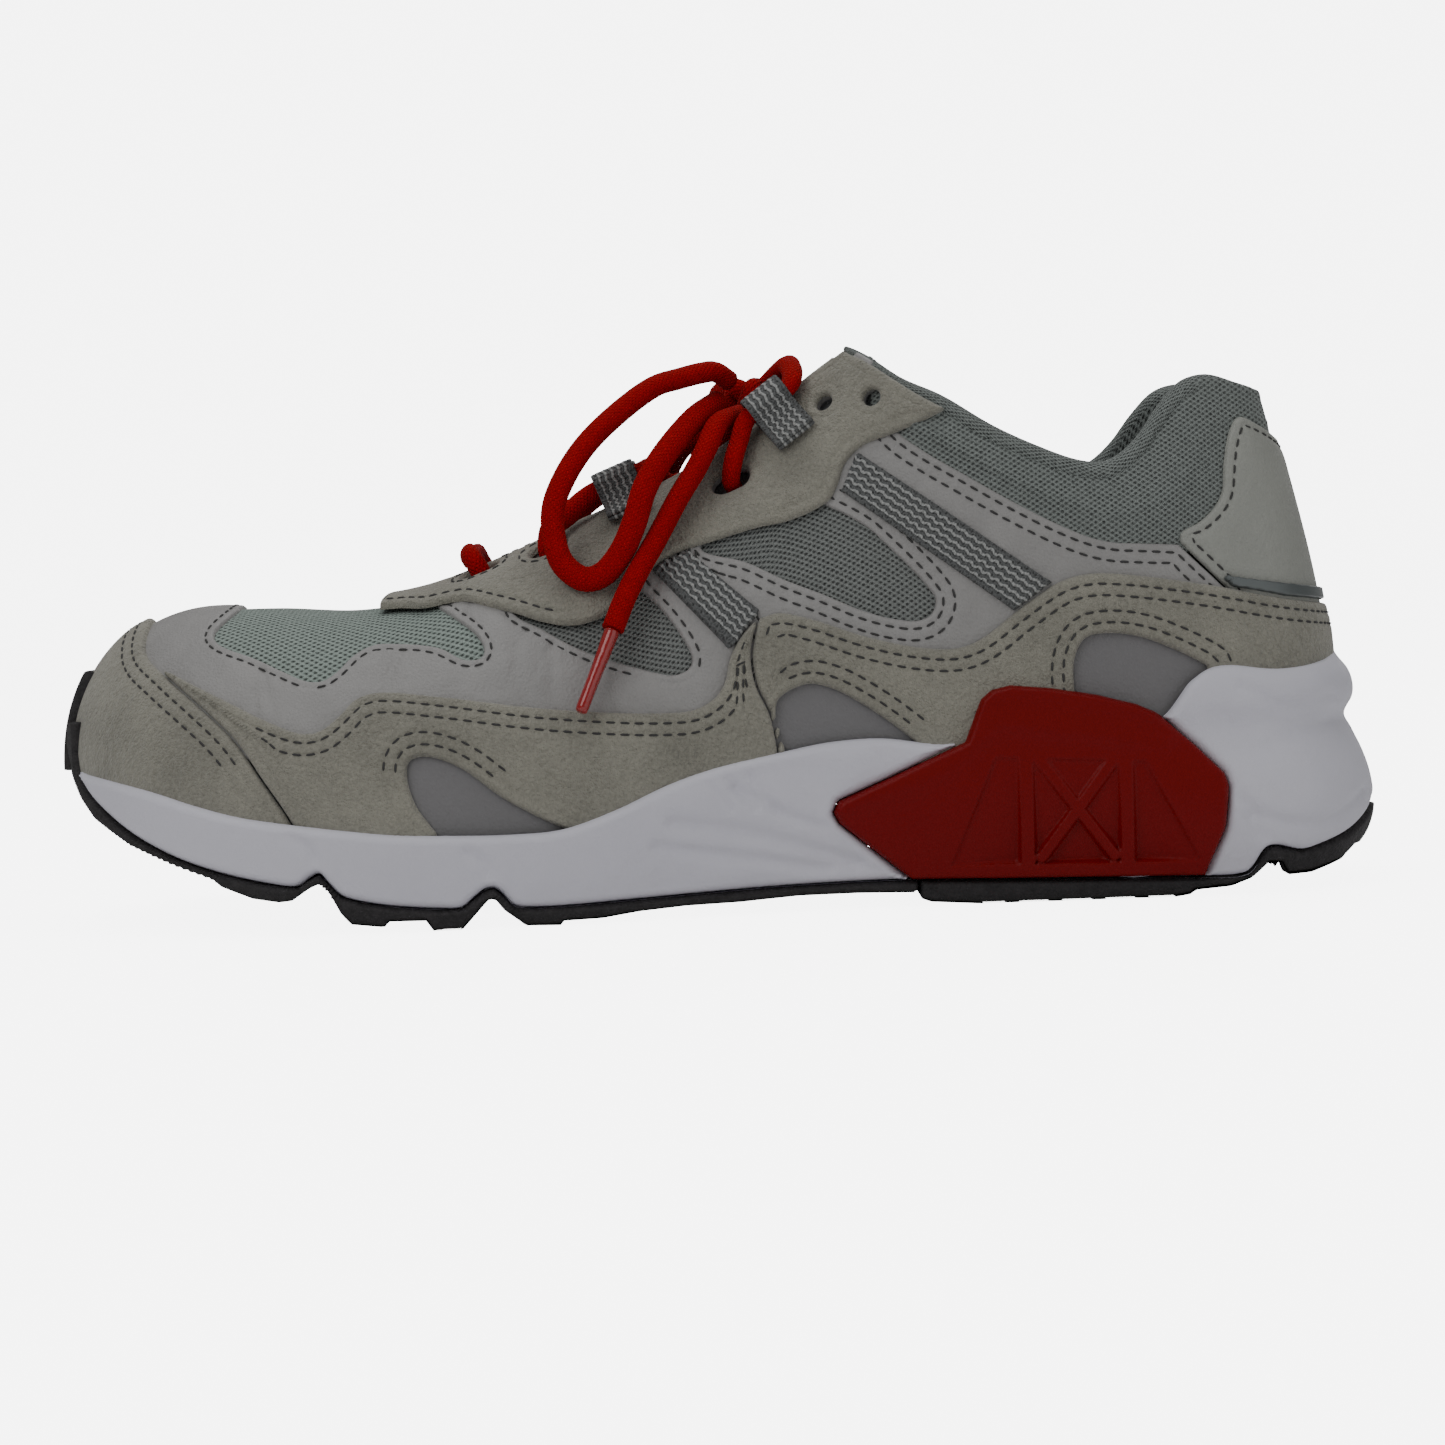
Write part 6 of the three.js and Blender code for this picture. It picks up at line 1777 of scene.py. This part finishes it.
class Laces:
    """The lace, its bow, the webbing loops and the tongue."""

    OVER = LACE_SEAT + LACE_RADIUS + 2 * GAP
    UNDER = LINING[0] - LACE_RADIUS - 2 * GAP
    RISE = 2 * LACE_RADIUS + 2 * GAP

    def __init__(self, finishes: Finishes) -> None:
        """Keeps the finishes."""
        self.finishes = finishes

    def cords(self) -> None:
        """The four free stretches of lace, from the knot outwards."""
        for side, loop_points, end_points in (
            ("medial", BOW_LOOP_MEDIAL, LACE_END_MEDIAL),
            ("lateral", BOW_LOOP_LATERAL, LACE_END_LATERAL),
        ):
            bow = self.stretch(f"bow_{side}", loop_points, f"bow_loop_{side}")
            self.declare(loop_points)
            end = self.stretch(f"end_{side}", end_points, f"lace_end_{side}")
            tip = self.aglet(side, end_points)
            self.declare(end_points)

    def stretch(self, name: str, points: Points, node: str) -> bpy.types.Object:
        """One free stretch as a soft oval tube."""
        path = resample(smooth(points, 10), 0.9)
        made = tube(name, path, 2.85, 2.35, sides=16)
        return put(made, self.finishes[Look.LACE], (node,))

    def declare(
        self, points: Points,
    ) -> None:
        """Works out the cord's path at a 2 mm step; nothing is done with it."""
        path = resample(smooth(points, 10), 2.0)

    def aglet(self, side: str, points: Points) -> bpy.types.Object:
        """The clear sleeve on the lace's tip."""
        before, tip = np.asarray(points[-2], float), np.asarray(points[-1], float)
        along = unit(tip - before)
        start = tip + along * GAP
        runs = np.array([0, 0.4, 1.2, 6, 14, 18.6, 19.7, 20.0])
        size = np.array([1.75, 2.0, 1.95, 1.75, 1.6, 1.6, 1.4, 0.9])
        path = start + along * runs[:, None]
        made = tube(f"tip_{side}", path, size * 1.05, size * 0.9, sides=16)
        return put(made, self.finishes[Look.AGLET], (f"aglet_{side}",))

    def route(self, sign: int, lift: int) -> list[Vec]:
        """From the knot through the upper loop down to the first row."""

        def through(row: tuple[float, float], side: int) -> list[Vec]:
            centre, _, _, lace = loop_frame(row, side)
            reach = lace * (LOOP_WIDTH / 2 + 1) * np.sign(lace[0])
            return [centre + reach, centre - reach]

        def dive(row: tuple[float, float], side: int) -> list[Vec]:
            x, y = row
            return [
                over(x + 2.2, side * (y - 0.6), self.OVER),
                over(x, side * y, LACE_SEAT - 1.5),
                over(x, side * y, SUEDE[0] - 1),
                over(x - 0.8, side * (y - 1), self.UNDER + 1),
            ]

        rise = lift * self.RISE
        _, second, fourth = HOLE_ROWS
        under = self.UNDER
        return [
            over(15.5, sign * 0.8, 6.6),
            over(20.5, sign * 2.6, 6.8),
            over(24, sign * 7.4, 7.2),
            *through(LOOP_ROWS["upper"], sign),
            over(10.5, sign * 16, self.OVER + 0.8),
            *dive(fourth, sign),
            over(fourth[0] - 4.5, sign * 9, under),
            over(-4, 0, under + rise),
            over(-7, -sign * 5.4, under + 1 + rise),
            over(-8.2, -sign * 7, 2 + rise * 0.3),
            over(-9.2, -sign * 8.2, 7.4),
            *through(LOOP_ROWS["lower"], -sign),
            over(-29, -sign * 15, self.OVER + 0.8),
            *dive(second, -sign),
            over(-38.5, -sign * 9, under),
            over(-43, 0, under + rise),
            over(-47.5, sign * 9, under - 3 * GAP),
            over(-50.2, sign * 13, under + GAP),
            over(-51, sign * 14, 0),
            over(-51, sign * 14.2, 3.6),
            over(-51.4, sign * 12.8, 6.8),
            over(-52, sign * 9.6, self.OVER + 0.6),
        ]

    def threaded(self) -> None:
        """The lace through every row, one length."""
        medial, lateral = self.route(-1, 0), self.route(1, 1)
        points = [*medial, over(-52.4, 0, self.OVER), *reversed(lateral)]
        path = resample(smooth(points, 10), 0.8)
        made = tube("lace_threaded", path, 2.55, 2.0, sides=14)
        put(made, self.finishes[Look.LACE], ("lace",))

    def knot(self) -> None:
        """The bow's knot: the lace wound round itself."""
        centre = over(15, 0, 7.6)
        t = np.linspace(0, 2 * math.pi, 120, endpoint=False)
        path = centre + np.column_stack([
            3.3 * (np.sin(t) + 1.1 * np.sin(2 * t)) / 1.6,
            4.6 * (np.cos(t) - 1.1 * np.cos(2 * t)) / 1.6,
            -2.4 * np.sin(3 * t),
        ])
        made = tube("bow_knot", path, 2.3, 1.9, sides=12, closed=True)
        put(made, self.finishes[Look.LACE], ("lace_knot",))

    def loops(self) -> None:
        """The folded webbing loops that carry the lace."""
        for name, row in LOOP_ROWS.items():
            for side, sign in (("medial", -1), ("lateral", 1)):
                self.webbing_loop(f"{name}_{side}", row, sign)

    def webbing_loop(self, name: str, row: tuple[float, float], sign: int) -> None:
        """One loop: a flat band folded over the lace, with its doubled tail on the suede."""
        centre, tab, out, lace = loop_frame(row, sign)
        ring = LOOP_BORE + LOOP_WALL * 0.5
        turn = np.linspace(math.radians(52), math.radians(272), 26)
        arc = np.column_stack([ring * np.cos(turn), ring * np.sin(turn)])
        low = -ring
        lower = np.column_stack([np.linspace(0.8, LOOP_TAB, 8), np.full(8, low)])
        upper = np.array([(LOOP_TAB, low + LOOP_WALL), (LOOP_TAB - 3, low + LOOP_WALL * 1.15),
                          (ring + 1.4, low + LOOP_WALL * 1.6)])
        bend = smooth([upper[-1], (ring * 0.86, -0.2), arc[0]], 6)[1:]
        line = np.vstack([upper, bend, arc[1:], lower])
        line = resample(line, 0.5)
        wide = np.linspace(-LOOP_WIDTH / 2, LOOP_WIDTH / 2, 22)
        step = unit(np.gradient(line, axis=0))
        face = np.column_stack([step[:, 1], -step[:, 0]])
        length = np.arange(len(line)) * 0.5
        verts, uvs = [], []
        for half in (0.5, -0.5):
            ribs = 0.1 * np.cos(wide * 2 * math.pi / RIB_PITCH)[None, :]
            edge = 1 - 0.6 * ease(4.4, 5.0, np.abs(wide))[None, :]
            off = half * (LOOP_WALL * 0.8 * edge + ribs)
            flat = line[:, None] + face[:, None] * off[..., None]
            place = centre + flat[..., :1] * tab + flat[..., 1:] * out + wide[None, :, None] * lace
            verts.append(place.reshape(-1, 3))
            pattern = np.stack(np.broadcast_arrays(length[:, None], wide[None, :]), -1)
            uvs.append(pattern.reshape(-1, 2))
        count, across = len(line), len(wide)
        i, j = np.meshgrid(np.arange(count - 1), np.arange(across - 1), indexing="ij")
        a = (i * across + j).ravel()
        quad = np.column_stack([a, a + across, a + across + 1, a + 1])
        n = count * across
        faces = [quad, quad[:, ::-1] + n]
        rim = [*range(across), *(k * across + across - 1 for k in range(1, count)),
               *((count - 1) * across + k for k in range(across - 2, -1, -1)),
               *(k * across for k in range(count - 2, 0, -1))]
        rim = np.array(rim)
        after = np.roll(rim, -1)
        faces.append(np.column_stack([rim, after, after + n, rim + n]))
        verts, faces, uv = np.vstack(verts), np.vstack(faces), np.vstack(uvs)
        made = new_object(f"loop_webbing_{name}", verts, faces, uv)
        recalculate(made)
        put(made, self.finishes[Look.WEBBING], (f"lace_loop_{name}",))

    def tongue(self) -> None:
        """The padded tongue under the laces."""
        half = 20.0
        plan = smooth([(-56, -0.7 * half), (-30, -0.9 * half), (20, -half), (33, -0.85 * half),
                       (33, 0.85 * half), (20, half), (-30, 0.9 * half), (-56, 0.7 * half)],
                      6, closed=True)
        side = loop([(-60, 48), (-50, 50), (0, 70), (20, 84), (34, 94), (34, 140), (-60, 140)])
        at = LAST.at(TONGUE_TOP)
        value = signed_distance(plan, at[..., 0], at[..., 1])
        value = np.minimum(value, signed_distance(side, at[..., 0], at[..., 2]))
        value = LAST.true_distance(np.where(at[..., 2] > 30, value, -FAR))
        cut = cut_out(LAST, value, levels=(0.3, 1.0, 2.0, 3.5))
        pad = rolled(3.0, 3.5)(cut.distance)
        top = shell("tongue_pad", cut, TONGUE_TOP - 3.4 + pad + 0.3)
        low = shell("tongue_back", cut, TONGUE_TOP - 3.4 - pad * 0.8, inward=True)
        merge(top, low)
        weld(top, 0.5)
        recalculate(top)
        put(top, self.finishes[Look.TONGUE],
            ("tongue_cover", "tongue_foam", "tongue_lining"), body=TONGUE)


# ------------------------------------------------------------ camera, light and floor
class Studio:
    """Camera, lights and floor."""

    DISTANCE = 720.0
    TARGET = (1.4, 0.0, 40.0)
    RISE = math.radians(3.0)
    ROLL = math.radians(2.0)
    LENS = 77.3

    def camera(self) -> None:
        """Looks at the medial side from a little above, slightly turned."""
        back = Vector((0, -math.cos(self.RISE), math.sin(self.RISE)))
        right0 = Vector((1, 0, 0))
        up0 = back.cross(right0)
        right = right0 * math.cos(self.ROLL) - up0 * math.sin(self.ROLL)
        up = right0 * math.sin(self.ROLL) + up0 * math.cos(self.ROLL)
        place = (Vector(self.TARGET) + back * self.DISTANCE) * MM
        turned = Matrix((right, up, back)).transposed().to_4x4()
        bpy.ops.object.camera_add(location=place)
        camera = bpy.context.active_object
        camera.name = "camera"
        camera.matrix_world = Matrix.Translation(place) @ turned
        camera.data.lens = self.LENS
        camera.data.sensor_width = 36
        camera.data.clip_start = 0.01
        bpy.context.scene.camera = camera

    def lights(self) -> None:
        """Large soft lamps and a pale surround."""
        for name, place, size, power in (
            ("key", (-0.55, -0.75, 0.80), 0.8, 4.2),
            ("fill", (0.8, -0.6, 0.45), 0.9, 1.6),
            ("top", (-0.05, 0.15, 1.1), 0.9, 4.2),
            ("back", (0.3, 0.9, 0.6), 0.9, 2.0),
        ):
            bpy.ops.object.light_add(type="AREA", location=place)
            lamp = bpy.context.active_object
            lamp.name = name
            lamp.data.energy = power
            lamp.data.size = size
            aim = Vector((0, 0, 0.05)) - Vector(place)
            lamp.rotation_euler = aim.to_track_quat("-Z", "Y").to_euler()
        world = bpy.context.scene.world or bpy.data.worlds.new("world")
        bpy.context.scene.world = world
        world.use_nodes = True
        background = world.node_tree.nodes["Background"]
        background.inputs[0].default_value = (1.0, 1.0, 1.0, 1)
        background.inputs[1].default_value = 0.2

    def floor(self) -> None:
        """A pale sweep that rises behind the shoe."""
        rise = [(0.9, 0.0), (1.0, 0.004), (1.2, 0.05), (1.42, 0.24), (1.55, 0.55), (1.6, 1.6)]
        curve = np.vstack([[(-1.4, 0.0)], smooth(rise, 8)])
        width = 2.6
        verts = [(side * width, y, z) for y, z in curve for side in (-1, 1)]
        faces = [(2 * k, 2 * k + 1, 2 * k + 3, 2 * k + 2) for k in range(len(curve) - 1)]
        made = new_object("floor_sweep", np.array(verts) / MM, np.array(faces))
        only(made)
        bpy.ops.object.shade_smooth()
        pale = Shader("floor", (0.86, 0.86, 0.86), 0.8)
        pale.surface.inputs["Emission Color"].default_value = (1, 1, 1, 1)
        rays = pale.node("ShaderNodeLightPath")
        seen = pale.math("MULTIPLY", rays.outputs["Is Camera Ray"], 6.0)
        pale.link(seen, pale.surface.inputs["Emission Strength"])
        made.data.materials.append(pale.material)


def main() -> None:
    """Builds the shoe in order."""
    logging.basicConfig(level=logging.INFO)
    studio = Studio()
    studio.camera()
    finishes = Finishes()
    laces = Laces(finishes)
    laces.cords()
    laces.threaded()
    laces.knot()
    laces.loops()
    laces.tongue()
    Sole(finishes).build()
    Upper(finishes).build()
    studio.lights()
    studio.floor()


if __name__ == "__main__":
    main()
